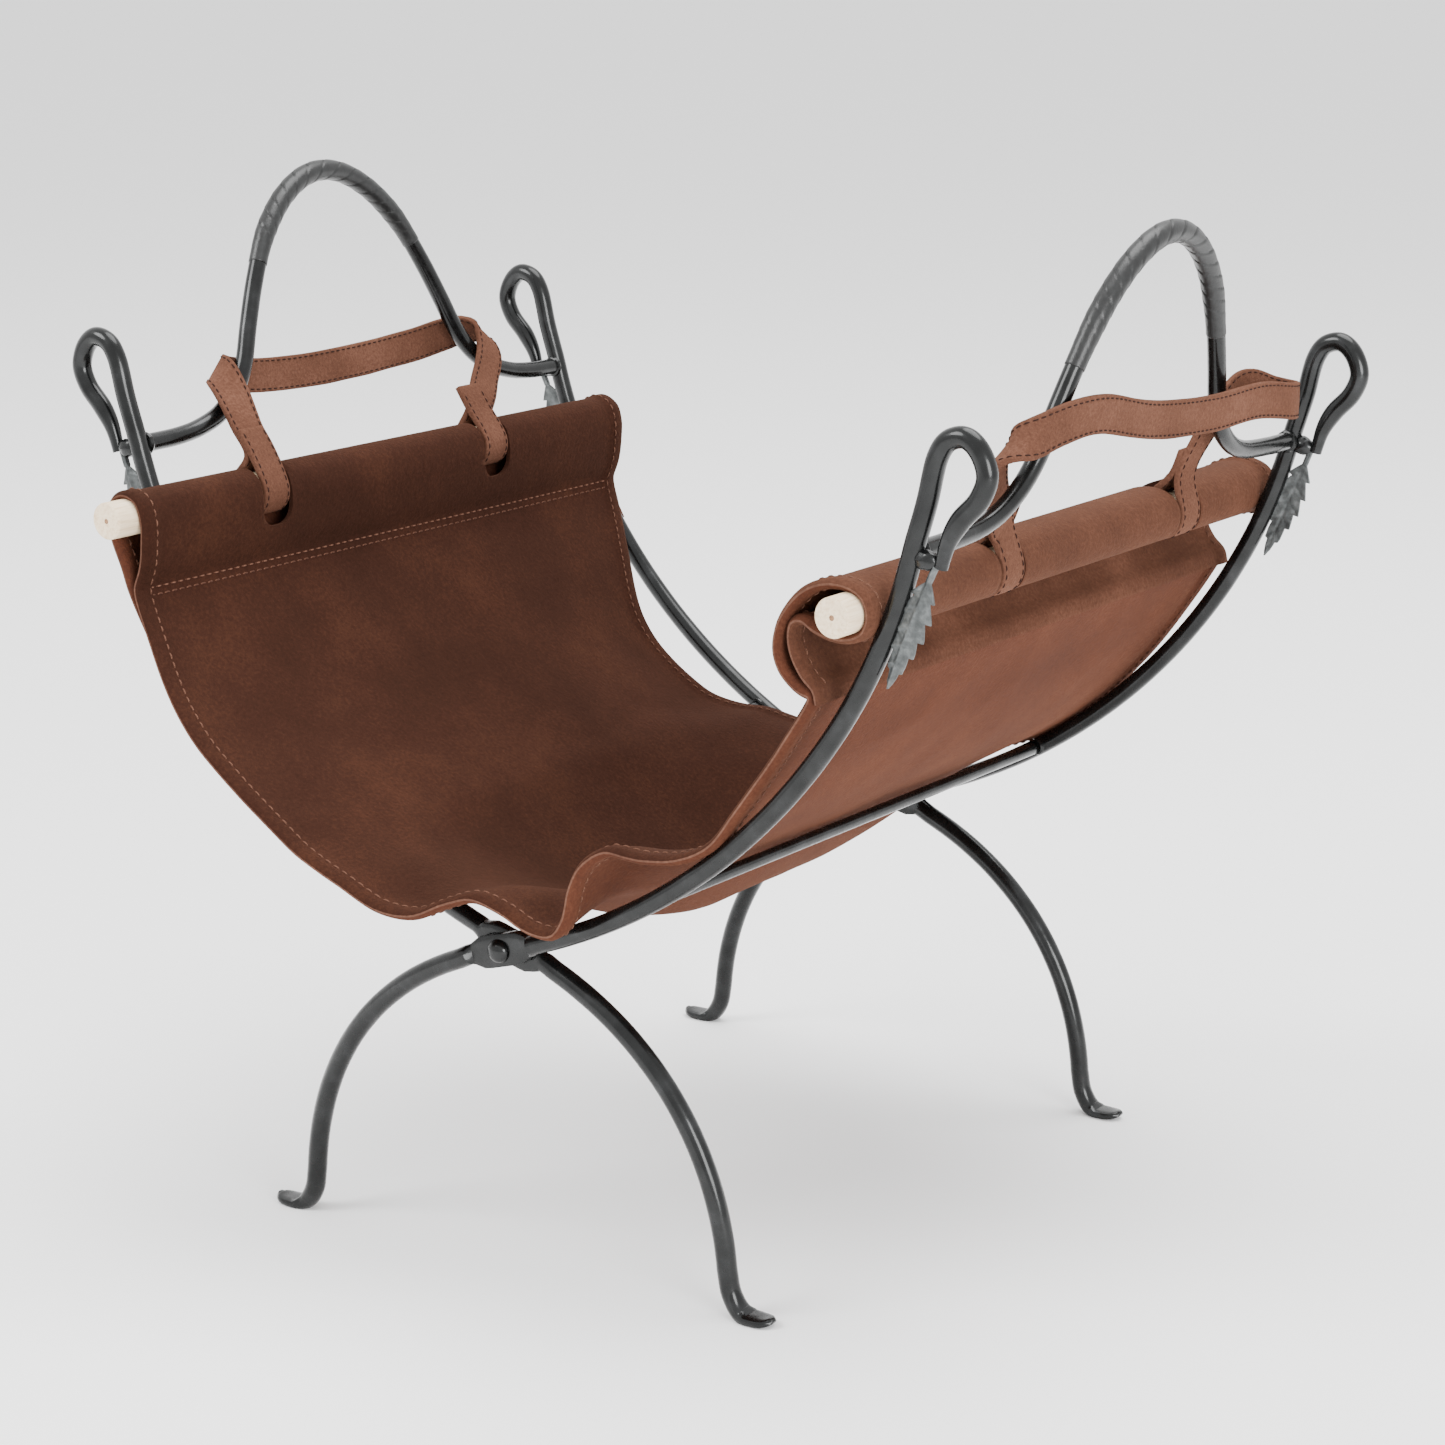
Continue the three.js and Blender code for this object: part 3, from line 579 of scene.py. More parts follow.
def forged_bar(name, key, end_name):
    row = FRAMES[key]
    end = ENDS[end_name]
    stations = bar_line(row)
    tangent = directions(stations[:, :2])
    normal = turn(tangent)
    c, s = circle(24)
    y = end * row["bar_y"]
    rings = []
    for k, (x, z, in_plane, along_y, shift, square) in enumerate(stations):
        reach = lerp(1, 1 / np.maximum(abs(c), abs(s)), square)
        spots = [Vector((x * 0.09 + cc, z * 0.09 + ss, end + k * 0.03)) for cc, ss in zip(c, s)]
        hammer = [1 + HAMMER_DEPTH * noise.noise(spot) for spot in spots]
        px = x + normal[k][0] * c * reach * in_plane * hammer
        pz = z + normal[k][1] * c * reach * in_plane * hammer
        py = y + end * shift + s * reach * along_y * hammer
        rings.append(np.stack([row["sign"] * px, py, np.maximum(pz, 0.0)], axis=1))
    build = Build()
    build.loft(rings)
    eye_end = EYE_LINE[-1]
    arm_side = ARM_FINE[arm_index(1, eye_end[1] + 1.5)]
    middle = (eye_end + arm_side) / 2
    tilt = math.atan2(eye_end[1] - arm_side[1], eye_end[0] - arm_side[0])
    centre = np.array([row["sign"] * middle[0], y, middle[1] + 1.5])
    blob(build, centre, np.array([6.4, 4.2, 4.6]), 2.3 + end, row["sign"] * tilt)
    hoop_y = y - end * ARM_R
    weld_x = ARM_FINE[arm_index(1, HOOP_WELD_Z)][0]
    bead(build, np.array([row["sign"] * weld_x, hoop_y, HOOP_WELD_Z]), [0, 1, 0], HOOP_R * 0.95, 1.5, 5 + end)
    stretch = ARM_FINE[arm_index(0, (STRETCHER_LOW[0] + STRETCHER_HIGH[0]) / 2)]
    joint = np.array([row["sign"] * stretch[0], hoop_y + end * 0.4, stretch[1]])
    bead(build, joint, [0, 1, 0], STRETCHER_R, 1.3, 9 + end)
    obj = crisp(build.object(name), 32)
    return finish_piece(obj, row["body"], "forged_steel", [STEEL], f"bar_{key}_{end_name}")


def turned_round_y(profile, centre_x, centre_z, sides=40):
    """Rings round an axis along Y through a profile of (radius, y)."""
    c, s = circle(sides)
    return [np.stack([centre_x + r * c, np.full(sides, y), centre_z + r * s], axis=1) for r, y in profile]


def rivet(end_name):
    """Rivet with a hammered dome on the outer plate and a flatter one inside."""
    end = ENDS[end_name]
    inner = MATING - GAP / 2 - PLATE_T
    outer = MATING + GAP / 2 + PLATE_T
    profile = []
    for a in np.linspace(0.04, math.pi / 2, 8):
        profile.append((RIVET_HEAD_R * math.sin(a), inner - 0.1 - RIVET_HEAD_H * 0.9 * math.cos(a)))
    profile += [(RIVET_HEAD_R - 0.5, inner + 0.05), (RIVET_R, inner + 0.1), (RIVET_R, outer - 0.1)]
    profile += [(RIVET_HEAD_R - 0.5, outer - 0.05)]
    for a in np.linspace(math.pi / 2, 0.04, 10):
        profile.append((RIVET_HEAD_R * math.sin(a), outer + 0.1 + RIVET_HEAD_H * math.cos(a)))
    build = Build()
    build.loft(turned_round_y([(r, end * y) for r, y in profile], 0, PIVOT[1]))
    obj = build.object(f"rivet_{end_name}_dome")
    return finish_piece(obj, "frame_a", "forged_steel", [STEEL], f"rivet_{end_name}")


def stretcher(key):
    row = FRAMES[key]
    reach = row["bar_y"] - ARM_R + 1.0
    x = row["sign"] * (STRETCHER_LOW[0] + STRETCHER_HIGH[0]) / 2
    z = (STRETCHER_LOW[2] + STRETCHER_HIGH[2]) / 2
    steps = np.linspace(-reach, reach, 60)
    wander = [STRETCHER_R * (1 + 0.015 * noise.noise(Vector((y * 0.08, x, 0)))) for y in steps]
    build = Build()
    build.loft(turned_round_y(list(zip(wander, steps)), x, z, 24))
    obj = build.object(f"stretcher_{row['side']}_rod")
    return finish_piece(obj, row["body"], "forged_steel", [STEEL], f"stretcher_{row['side']}")


# ---- Bar handles ----

HOOP_HALF = [
    [0, 1], [13, 0.985], [26, 0.94], [39, 0.865], [53, 0.74],
    [66, 0.56], [76, 0.39], [83, 0.26], [92, 0.155], [106, 0.07],
    [122, 0.025],
]


def hoop_line(key):
    """Centre line of a handle, from its near weld to its far weld, in three dimensions."""
    row = FRAMES[key]
    reach = row["bar_y"] - ARM_R + 0.8
    half = HOOP_HALF + [[reach - 24, 0.005], [reach, 0]]
    whole = [[-y, up] for y, up in half[::-1]] + half[1:]
    flat = spline(whole, 14)
    rise = HOOP_TOP_Z - HOOP_WELD_Z
    weld_x = ARM_FINE[arm_index(1, HOOP_WELD_Z)][0]
    x = row["sign"] * (weld_x + flat[:, 1] * rise * math.tan(HOOP_LEAN))
    return np.stack([x, flat[:, 0], HOOP_WELD_Z + flat[:, 1] * rise], axis=1)


def hoop_frames(line, key):
    """Tangent, leaning direction and the direction across, at each point of a handle's line."""
    sign = FRAMES[key]["sign"]
    tangent = directions(line)
    leaning = np.array([sign * math.cos(HOOP_LEAN), 0, -math.sin(HOOP_LEAN)])
    across = np.cross(tangent, leaning)
    across /= np.linalg.norm(across, axis=1, keepdims=True)
    return tangent, leaning, across


def hoop(key):
    row = FRAMES[key]
    line = resample(hoop_line(key), 180)
    _, leaning, across = hoop_frames(line, key)
    c, s = circle(22)
    build = Build()
    rings = []
    for k in range(len(line)):
        spots = [Vector((k * 0.13, cc * 1.5, ss * 1.5)) for cc, ss in zip(c, s)]
        swell = [HOOP_R * (1 + HAMMER_DEPTH * noise.noise(spot)) for spot in spots]
        rings.append(line[k] + np.outer(c * swell, leaning) + np.outer(s * swell, across[k]))
    build.loft(rings)
    obj = build.object(f"hoop_{row['side']}_bar")
    return finish_piece(obj, row["body"], "forged_steel", [STEEL], f"hoop_{row['side']}")


GRIP_SHARES = {"a": (14 / 46, 32 / 46), "b": (15 / 46, 31 / 46)}
GRIP_SPACING = 12.0
GRIP_STARTS = 3
GRIP_WALL = 0.85
GRIP_JOINT = 0.13


def grip_wrap(key):
    """A band wound round the grip, each turn lapping the one before it."""
    row = FRAMES[key]
    line = resample(hoop_line(key), 700)
    first, last = (int(share * 699) for share in GRIP_SHARES[key])
    line = line[first : last + 1]
    s_along = arclength(line)
    _, leaning, across = hoop_frames(line, key)
    sides = 56
    angle = np.arange(sides) / sides * 2 * np.pi
    total = s_along[-1]
    rings = []
    for k in range(len(line)):
        share = 2 * s_along[k] / total - 1
        laps = (share + 0.35 * share**3) * total / 2 / GRIP_SPACING
        lap = (laps + GRIP_STARTS * angle / (2 * np.pi)) % 1.0
        step = np.where(lap < GRIP_JOINT, lap / GRIP_JOINT, 1 - 0.4 * (lap - GRIP_JOINT) / (1 - GRIP_JOINT))
        taper = min(1.0, 8 * min(k, len(line) - 1 - k) / len(line))
        radius = HOOP_R + 0.12 + GRIP_WALL * (0.4 + 0.6 * step) * max(taper, 0.25)
        outward = np.outer(np.cos(angle) * radius, leaning)
        rings.append(line[k] + outward + np.outer(np.sin(angle) * radius, across[k]))
    build = Build()
    build.loft(rings)
    obj = build.object(f"grip_wrap_{row['side']}_band")
    return finish_piece(obj, row["body"], "grip", [BAND], f"grip_wrap_{row['side']}")


# ---- Leaves ----


def leaf(key, end_name):
    """A serrated leaf with a raised midrib, side veins and a stalk that is welded to the eye."""
    row = FRAMES[key]
    end = ENDS[end_name]
    eye_direction = unit(EYE_LINE[-1] - EYE_LINE[-2])
    hang = EYE_LINE[-1] - np.array([2.6, 0]) - eye_direction * 2.0
    tip_index = arm_index(1, hang[1] - LEAF_LENGTH * 0.9)
    tip = inside_arm(tip_index, -ARM_R - 6)
    down = unit(tip - hang)
    side = turn(down)
    stem = 0.14
    rows, columns, teeth = 96, 33, 6
    top, bottom = [], []
    for i in range(rows):
        s = i / (rows - 1)
        blade = max((s - stem) / (1 - stem), 0.0)
        outline = math.sin(math.pi * min(blade, 1.0) ** 0.72) ** 0.85 if blade > 0 else 0
        tooth = (blade * teeth) % 1.0
        serration = 0.62 + 0.38 * tooth
        half = max(LEAF_HALF_WIDTH * outline * serration, 1.25 * (1 - 0.7 * s))
        for j in range(columns):
            t = 2 * j / (columns - 1) - 1
            across = t * half
            centre_line = hang + down * s * (LEAF_LENGTH + 2)
            place = centre_line + side * across
            vein_phase = (blade * teeth - 0.55 * abs(across) / max(LEAF_HALF_WIDTH, 1)) % 1.0
            on_blade = 1 if blade > 0 else 0
            vein = math.exp(-((vein_phase - 0.5) / 0.13) ** 2) * min(1.0, abs(across) / 1.5) * on_blade
            rib = math.exp(-((across / 0.9) ** 2))
            cup = 1.4 * (across / LEAF_HALF_WIDTH) ** 2 * on_blade
            bow = 1.6 * math.sin(math.pi * s) - 0.4
            thin = 0.45 + 0.5 * (1 - abs(t)) + (0.8 if blade <= 0.02 else 0)
            lift = 0.55 * vein + 0.7 * rib
            y = bow - cup
            top.append([row["sign"] * place[0], end * (row["bar_y"] + y + thin + lift), place[1]])
            bottom.append([row["sign"] * place[0], end * (row["bar_y"] + y - thin + lift * 0.5), place[1]])
    count = rows * columns
    faces = []
    for i in range(rows - 1):
        for j in range(columns - 1):
            a = i * columns + j
            faces.append([a, a + 1, a + columns + 1, a + columns])
            faces.append([count + a, count + a + columns, count + a + columns + 1, count + a + 1])
    border = [j for j in range(columns)]
    border += [i * columns + columns - 1 for i in range(1, rows)]
    border += [(rows - 1) * columns + j for j in range(columns - 2, -1, -1)]
    border += [i * columns for i in range(rows - 2, 0, -1)]
    for a, b in zip(border, border[1:] + border[:1]):
        faces.append([b, a, count + a, count + b])
    points = np.array(top + bottom)
    if signed_volume(points, faces) < 0:
        faces = [face[::-1] for face in faces]
    build = Build()
    build.add(points, faces)
    obj = build.object(f"leaf_{row['side']}_{end_name}_veined")
    return finish_piece(obj, row["body"], "leaf_metal", [LEAF], f"leaf_{row['side']}_{end_name}")


# ---- Dowels ----


def dowel(key):
    """Turned dowel with eased ends and the lathe's centre mark."""
    row = FRAMES[key]
    low, high = box_mm(f"dowel_{row['side']}")
    x = row["sign"] * DOWEL_PLACE[0]
    z = DOWEL_PLACE[1]
    y0, y1 = low[1] - MIDDLE_Y, high[1] - MIDDLE_Y
    ease = 0.7
    profile = [(0.05, y0 + 0.5), (0.9, y0 + 0.45), (1.25, y0)]
    profile += [(DOWEL_R - ease, y0), (DOWEL_R - 0.2, y0 + 0.25), (DOWEL_R, y0 + ease)]
    profile += [(DOWEL_R, y) for y in np.linspace(y0 + 10, y1 - 10, 24)]
    profile += [(DOWEL_R, y1 - ease), (DOWEL_R - 0.2, y1 - 0.25), (DOWEL_R - ease, y1)]
    profile += [(1.25, y1), (0.05, y1 - 0.4)]
    build = Build()
    build.loft(turned_round_y(profile, x, z, 56))
    obj = build.object(f"dowel_{row['side']}_turned", False)
    for polygon in obj.data.polygons:
        polygon.use_smooth = abs(polygon.normal.y) < 0.5
    finish_piece(obj, row["body"], "dowel_wood", [BEECH, PITH], f"dowel_{row['side']}")
    for polygon in obj.data.polygons:
        reach = math.hypot(polygon.center.x - x * MM, polygon.center.z - z * MM)
        polygon.material_index = 1 if reach < 1.1 * MM else 0
    return obj


# ---- Stitches ----


def stitches(build, line, normals, pitch, length, width=0.42, lift=0.25):
    """Thread stitches along a line: short rounded strands that dip into the leather at both ends."""
    s = arclength(line)
    count = int(s[-1] // pitch)
    c, sn = circle(6)
    for k in range(count):
        start = (k + 0.15) * pitch
        at = np.linspace(start, start + length, 5)
        p = np.stack([np.interp(at, s, line[:, d]) for d in range(3)], axis=1)
        n = np.stack([np.interp(at, s, normals[:, d]) for d in range(3)], axis=1)
        n /= np.linalg.norm(n, axis=1, keepdims=True)
        tangent = directions(p)
        across = np.cross(tangent, n)
        across /= np.maximum(np.linalg.norm(across, axis=1, keepdims=True), 1e-9)
        rise = np.array([-0.5, 0.75, 1.0, 0.75, -0.5]) * lift
        girth = np.array([0.55, 1.0, 1.0, 1.0, 0.55]) * width
        rings = []
        for i in range(5):
            centre = p[i] + n[i] * rise[i]
            rings.append(centre + np.outer(c * girth[i], across[i]) + np.outer(sn * girth[i] * 0.8, n[i]))
        build.loft(rings)


# ---- Sling ----

SUEDE_T = 2.4
SLING_WIDTH = 382.0
SLING_LEFT_Y = -16.0
SLING_RIGHT_Y = 4.0
SLING_DRIFT = 22.0
SLING_LOW_Z = 149.0
SLING_EDGE_Z = 187.0
SEAM_Z = 317.0
FLAP_OFFSET = ARM_R + GAP + 0.1 + SUEDE_T / 2
NEAR_TUCK = 9.0
FAR_SHEAR = 16.0
FAR_DROOP = 11.0
WAVE_REACH = 46.0
SOFT_FOLDS = 3.2
FINE_FOLDS = 0.9
HEM_BAND = 11.0
HEM_SWELL_OUT = 1.4
HEM_SWELL_IN = 1.0
STITCH_PITCH = 5.0
STITCH_LENGTH = 3.4
EDGE_STITCH_IN = 8.0
SAG_COLUMNS = 34
HANG_COLUMNS = 60
HEM_COLUMNS = 110

# Section of a hem, from the seam up the inner side, over the dowel and down again to the free edge, counted
# from the dowel's middle: across, outwards, and up. On the left it hangs as a drop; on the right the back
# layer is tucked up under the dowel and folded down again to the seam.
HANGING_HEM = [
    [-3.9, -35.5], [-8.0, -25], [-10.3, -12], [-10.8, -1], [-7.8, 7.5],
    [0, 10.8], [7.7, 7.5], [10.6, 0], [8.8, -11], [3.0, -25],
    [-0.7, -35.5], [-6.0, -46], [-12.4, -57],
]
TUCKED_HEM = [
    [-19.2, -41], [-27, -36], [-33.5, -29], [-36.5, -20], [-35, -10],
    [-29.5, -0.5], [-21.5, 7.2], [-11.5, 11.4], [0, 11.5], [7.8, 7.7],
    [10.7, 0], [8.2, -7.6], [1, -11.4], [-8.5, -11.8], [-17, -9.6],
    [-24, -6.2], [-28.6, -8], [-30, -15], [-28, -23], [-23, -31],
    [-17.2, -36.5], [-15.6, -42.5],
]

# The near edge's waves: distance across, and how far the edge stands above the resting line.
NEAR_WAVES = [
    [-210, 0], [-92, 0], [-64, -3], [-42, -8], [-25, -6],
    [-8, 4], [6, 8], [20, 2], [33, -8], [44, -11],
    [52, -4], [59, 9], [69, 19], [83, 22], [98, 11],
    [112, 3], [126, -1], [140, 1], [154, 2], [172, 1],
    [200, 0],
]
NEAR_WAVE_LINE = spline(NEAR_WAVES, 10)


def sling_low(y):
    return lerp(SLING_LOW_Z, SLING_EDGE_Z, smooth(np.abs(y), 35, 172))


def seam_start(side):
    outline = TUCKED_HEM if side > 0 else HANGING_HEM
    return DOWEL_PLACE + np.array(outline[0], float)


def half_profile(side, y):
    """Middle line of the suede on one side at one place along the rack, from the lowest point to the hem's
    free edge, with x counted outwards."""
    low = sling_low(y)
    first = arm_index(0, (STRETCHER_LOW[0] + STRETCHER_HIGH[0]) / 2)
    over = inside_arm(first, FLAP_OFFSET)
    share = np.linspace(0, 1, SAG_COLUMNS, endpoint=False)
    sag = np.stack([over[0] * share, lerp(low, over[1], share**1.8)], axis=1)
    start = seam_start(side)
    last = arm_index(1, start[1] - 4)
    away = np.dot(start - ARM_FINE[last], turn(ARM_FINE_DIRECTION[last]))
    hang = []
    for k in np.linspace(first, last, HANG_COLUMNS):
        i = int(round(k))
        t = (k - first) / (last - first)
        hang.append(inside_arm(i, lerp(FLAP_OFFSET, away, smooth(t, 0.15, 1.0))))
    outline = TUCKED_HEM if side > 0 else HANGING_HEM
    hem = DOWEL_PLACE + resample(spline(outline, 10), HEM_COLUMNS)
    whole = np.vstack([sag, np.array(hang), hem[1:]])
    head = SAG_COLUMNS - 4
    tail = SAG_COLUMNS + HANG_COLUMNS + 4
    smoothed = whole.copy()
    for _ in range(6):
        before, here, after = (smoothed[head + k : tail + k] for k in (-1, 0, 1))
        smoothed[head:tail] = (before + here * 2 + after) / 4
    return smoothed


def sling_rows():
    """Grid of points of the sling's middle surface: rows along the rack, columns across it."""
    near, far = np.linspace(-0.5, -0.44, 9)[:-1], np.linspace(0.44, 0.5, 9)[1:]
    shares = np.concatenate([near, np.linspace(-0.44, 0.44, 78), far])
    rows = []
    for share in shares:
        y_middle = lerp(SLING_LEFT_Y, SLING_RIGHT_Y, 0.5) + share * SLING_WIDTH
        right = half_profile(1, y_middle)
        left = half_profile(-1, y_middle)[1:][::-1] * [-1, 1]
        line = np.vstack([left, right])
        t = arclength(line)
        t = t / t[-1]
        drift = SLING_DRIFT * (smooth(t, 0.14, 0.28) - smooth(t, 0.36, 0.56))
        drift -= NEAR_TUCK * (smooth(t, 0.55, 0.61) - smooth(t, 0.7, 0.8)) * smooth(-share, 0.2, 0.5)
        drift += FAR_SHEAR * (smooth(t, 0.16, 0.27) - smooth(t, 0.3, 0.42)) * smooth(share, 0.1, 0.5)
        y = lerp(SLING_LEFT_Y, SLING_RIGHT_Y, smooth(t, 0, 1)) - drift + share * SLING_WIDTH
        rows.append(np.stack([line[:, 0], y, line[:, 1]], axis=1))
    return np.array(rows), shares


def surface_normals(rows):
    along = np.gradient(rows, axis=1)
    across = np.gradient(rows, axis=0)
    n = np.cross(along, across)
    return n / np.maximum(np.linalg.norm(n, axis=2, keepdims=True), 1e-9)


def sling_surface():
    rows, shares = sling_rows()
    normals = surface_normals(rows)
    if normals[len(shares) // 2, rows.shape[1] // 2, 2] < 0:
        normals = -normals
    x, y, z = rows[..., 0], rows[..., 1], rows[..., 2]
    from_near = (shares[:, None] + 0.5) * SLING_WIDTH
    from_far = (0.5 - shares[:, None]) * SLING_WIDTH
    hanging = smooth(SEAM_Z - 3 - z, 0, 26)
    wave = np.interp(x, NEAR_WAVE_LINE[:, 0], NEAR_WAVE_LINE[:, 1])
    lift = wave * np.exp(-((from_near / WAVE_REACH) ** 2)) * hanging
    folds = np.zeros_like(x)
    for i in range(x.shape[0]):
        for j in range(x.shape[1]):
            soft = noise.noise(Vector((x[i, j] * 0.011, y[i, j] * 0.009, 3.1)))
            fine = noise.noise(Vector((x[i, j] * 0.03, y[i, j] * 0.022, z[i, j] * 0.03)))
            folds[i, j] = SOFT_FOLDS * abs(soft) + FINE_FOLDS * abs(fine)
    calm = smooth(from_near, 0, 30) * smooth(from_far, 0, 30)
    unsupported = smooth(x, -175, -130) * (1 - smooth(x, -105, -70)) * np.exp(-((from_far / 60) ** 2))
    lift = lift + folds * hanging * (0.35 + 0.65 * calm) - FAR_DROOP * unsupported
    return rows + normals * lift[..., None], shares


def sheet_faces(n_rows, n_columns):
    """Quads of the upper face, the lower face and the rim of a thick sheet on a grid."""
    count = n_rows * n_columns
    upper, lower, rim = [], [], []
    for i in range(n_rows - 1):
        for j in range(n_columns - 1):
            a = i * n_columns + j
            upper.append([a, a + 1, a + n_columns + 1, a + n_columns])
            lower.append([count + a, count + a + n_columns, count + a + n_columns + 1, count + a + 1])
    border = [j for j in range(n_columns)]
    border += [i * n_columns + n_columns - 1 for i in range(1, n_rows)]
    border += [(n_rows - 1) * n_columns + j for j in range(n_columns - 2, -1, -1)]
    border += [i * n_columns for i in range(n_rows - 2, 0, -1)]
    for a, b in zip(border, border[1:] + border[:1]):
        rim.append([b, a, count + a, count + b])
    return upper, lower, rim


def stadium(width, height, corner, steps=8):
    """Outline of a slot that is open at the top and has round corners at the bottom."""
    half = width / 2
    points = [[-half, height]]
    for a in np.linspace(math.pi, 1.5 * math.pi, steps):
        points.append([-half + corner + corner * math.cos(a), corner + corner * math.sin(a)])
    for a in np.linspace(1.5 * math.pi, 2 * math.pi, steps):
        points.append([half - corner + corner * math.cos(a), corner + corner * math.sin(a)])
    points.append([half, height])
    return points


STRAP_T = 3.2
STRAP_WIDTH = 18.0
STRAP_STEP = 2.2
TWIST_PASSES = 14
SEWN_END = 13.0
SLOT_WIDTH = 21.0
SLOT_HEIGHT = 60.0
SLOT_CORNER = 8.5
LEFT_SLOTS = [-111.0, 63.0]
RIGHT_SLOTS = [-68.0, 101.0]


def cut_slots(obj):
    """Cuts the strap slots through both layers of each hem."""
    build = Build()
    for side, places in ((-1, LEFT_SLOTS), (1, RIGHT_SLOTS)):
        for y in places:
            bottom = DOWEL_PLACE[1] - DOWEL_R - STRAP_T - 5
            outline = stadium(SLOT_WIDTH, SLOT_HEIGHT, SLOT_CORNER)
            reach = [side * DOWEL_PLACE[0] - 36, side * DOWEL_PLACE[0] + 34]
            build.loft([[[x, y + a, bottom + b] for a, b in outline] for x in reach])
    cutter = build.object("slot_cutter", False)
    modifier = obj.modifiers.new("slots", "BOOLEAN")
    modifier.operation = "DIFFERENCE"
    modifier.solver = "EXACT"
    modifier.object = cutter
    bpy.context.view_layer.objects.active = obj
    with bpy.context.temp_override(object=obj, active_object=obj, selected_objects=[obj]):
        bpy.ops.object.modifier_apply(modifier=modifier.name)
    bpy.data.objects.remove(cutter)


def blend_sling(obj):
    """Bakes the suede's placement into the points of its mesh."""
    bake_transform(obj)


def sling():
    rows, shares = sling_surface()
    normals = surface_normals(rows)
    if normals[len(shares) // 2, rows.shape[1] // 2, 2] < 0:
        normals = -normals
    from_edge = np.minimum(shares + 0.5, 0.5 - shares)[:, None] * SLING_WIDTH
    fold = 1 - smooth(from_edge, HEM_BAND - 1.2, HEM_BAND + 0.6)
    rounded = np.sqrt(np.clip(1 - (1 - np.clip(from_edge / 1.6, 0, 1)) ** 2, 0.04, 1))
    outer = (SUEDE_T / 2 + HEM_SWELL_OUT * fold) * rounded
    inner = (SUEDE_T / 2 + HEM_SWELL_IN * fold) * rounded
    upper = rows + normals * inner[..., None]
    lower = rows - normals * outer[..., None]
    n_rows, n_columns = rows.shape[:2]
    faces_up, faces_down, faces_rim = sheet_faces(n_rows, n_columns)
    points = np.vstack([upper.reshape(-1, 3), lower.reshape(-1, 3)])
    faces = faces_up + faces_down + faces_rim
    if signed_volume(points, faces) < 0:
        faces = [face[::-1] for face in faces]
    obj = make_object("sling_suede", points, faces)
    for material in (SUEDE_INSIDE_PAINTED_SHADE, SUEDE_OUTSIDE_PAINTED_LIGHT, SUEDE_CUT_EDGE_AND_LIGHT, SUEDE_ROLL_PAINTED_LIGHT):
        obj.data.materials.append(material)
    # Upper faces take the inside tone of painted shade, except the right hem's roll, which takes the roll
    # tone of painted light; lower faces take the outside tone of painted light, and the rim takes the
    # cut-edge tone.
    rolled = n_columns // 2 + SAG_COLUMNS + HANG_COLUMNS
    kinds = [3 if face[0] % n_columns >= rolled else 0 for face in faces_up]
    kinds += [1] * len(faces_down) + [2] * len(faces_rim)
    obj.data.polygons.foreach_set("material_index", kinds)
    cut_slots(obj)
    blend_sling(obj)
    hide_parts("sling_panel")
    return rows, normals, shares


def sling_stitching(rows, normals, shares):
    """Two rows along each hem's seam and one row along each side edge."""
    n_columns = rows.shape[1]
    middle = n_columns // 2
    build = Build()
    for side in (-1, 1):
        first = middle + side * (SAG_COLUMNS + HANG_COLUMNS)
        for step in (0, 2):
            column = first - side * step
            for face in (1, -1):
                line = rows[:, column] + normals[:, column] * face * (SUEDE_T / 2)
                stitches(build, line[1:-1], normals[1:-1, column] * face, STITCH_PITCH, STITCH_LENGTH)
    from_near = (shares + 0.5) * SLING_WIDTH
    for edge in (EDGE_STITCH_IN, SLING_WIDTH - EDGE_STITCH_IN):
        row_index = int(np.argmin(abs(from_near - edge)))
        for face, out in ((1, SUEDE_T / 2 + HEM_SWELL_IN), (-1, SUEDE_T / 2 + HEM_SWELL_OUT)):
            line = rows[row_index] + normals[row_index] * face * out
            up = normals[row_index][3:-3] * face
            stitches(build, line[3:-3], up, STITCH_PITCH, STITCH_LENGTH)
    obj = build.object("sling_thread")
    obj.data.materials.append(THREAD)
    blend_sling(obj)
    return obj


# ---- Straps ----

# Each strap's route, from its near loop to its far loop: outwards, along Y, up, and the direction
# that its width points in.
LEFT_ROUTE = [
    [204, -110.5, 370, 0, 1, 0],
    [214, -108, 384, 0, 1, 0.25],
    [226, -104, 398, 0.1, 0.8, 0.5],
    [236, -101, 407, 0, 0.75, 0.65],
    [243, -96, 407, -0.3, 0.5, 0.85],
    [247, -82, 403, 0, 0.2, 1],
    [247.5, -45, 399, 0.1, 0, 1],
    [247.5, 8, 399, 0.1, 0, 1],
    [247.5, 60, 402, 0.1, 0, 1],
    [247, 86, 405, 0, -0.2, 1],
    [243, 99, 406.5, -0.3, -0.5, 0.85],
    [235, 103, 406, 0, -0.75, 0.65],
    [226, 100, 398, 0.1, -0.9, 0.4],
    [217, 86, 385, 0, -1, 0.25],
    [207, 66, 370, 0, -1, 0.1],
]
RIGHT_ROUTE = [
    [210, -70, 370, 0, 1, 0.1],
    [216, -84, 383, 0, 1, 0.3],
    [222, -98, 397, 0.1, 1, 0.4],
    [229, -107, 409, 0.1, 1, 0.5],
    [238, -109, 416, 0.1, 0.8, 0.8],
    [245, -103, 420, 0, 0.5, 1],
    [249, -84, 424, 0, 0.15, 1],
    [251, -56, 425, 0.1, 0, 1],
    [250, -8, 416, 0.1, 0, 1],
    [249.5, 55, 411, 0.1, 0, 1],
    [249.5, 103, 411, 0.1, 0, 1],
    [248.5, 140, 406, 0, 0, 1],
    [243, 153, 405, 0, 0, 1],
    [236, 142, 408, 0, 0.15, 1],
    [231, 124, 413, 0, 0.5, 0.9],
    [226, 109, 405, 0, -0.9, 0.5],
    [219, 102.5, 390, 0, -1, 0.1],
    [211, 101, 371, 0, -1, 0],
]


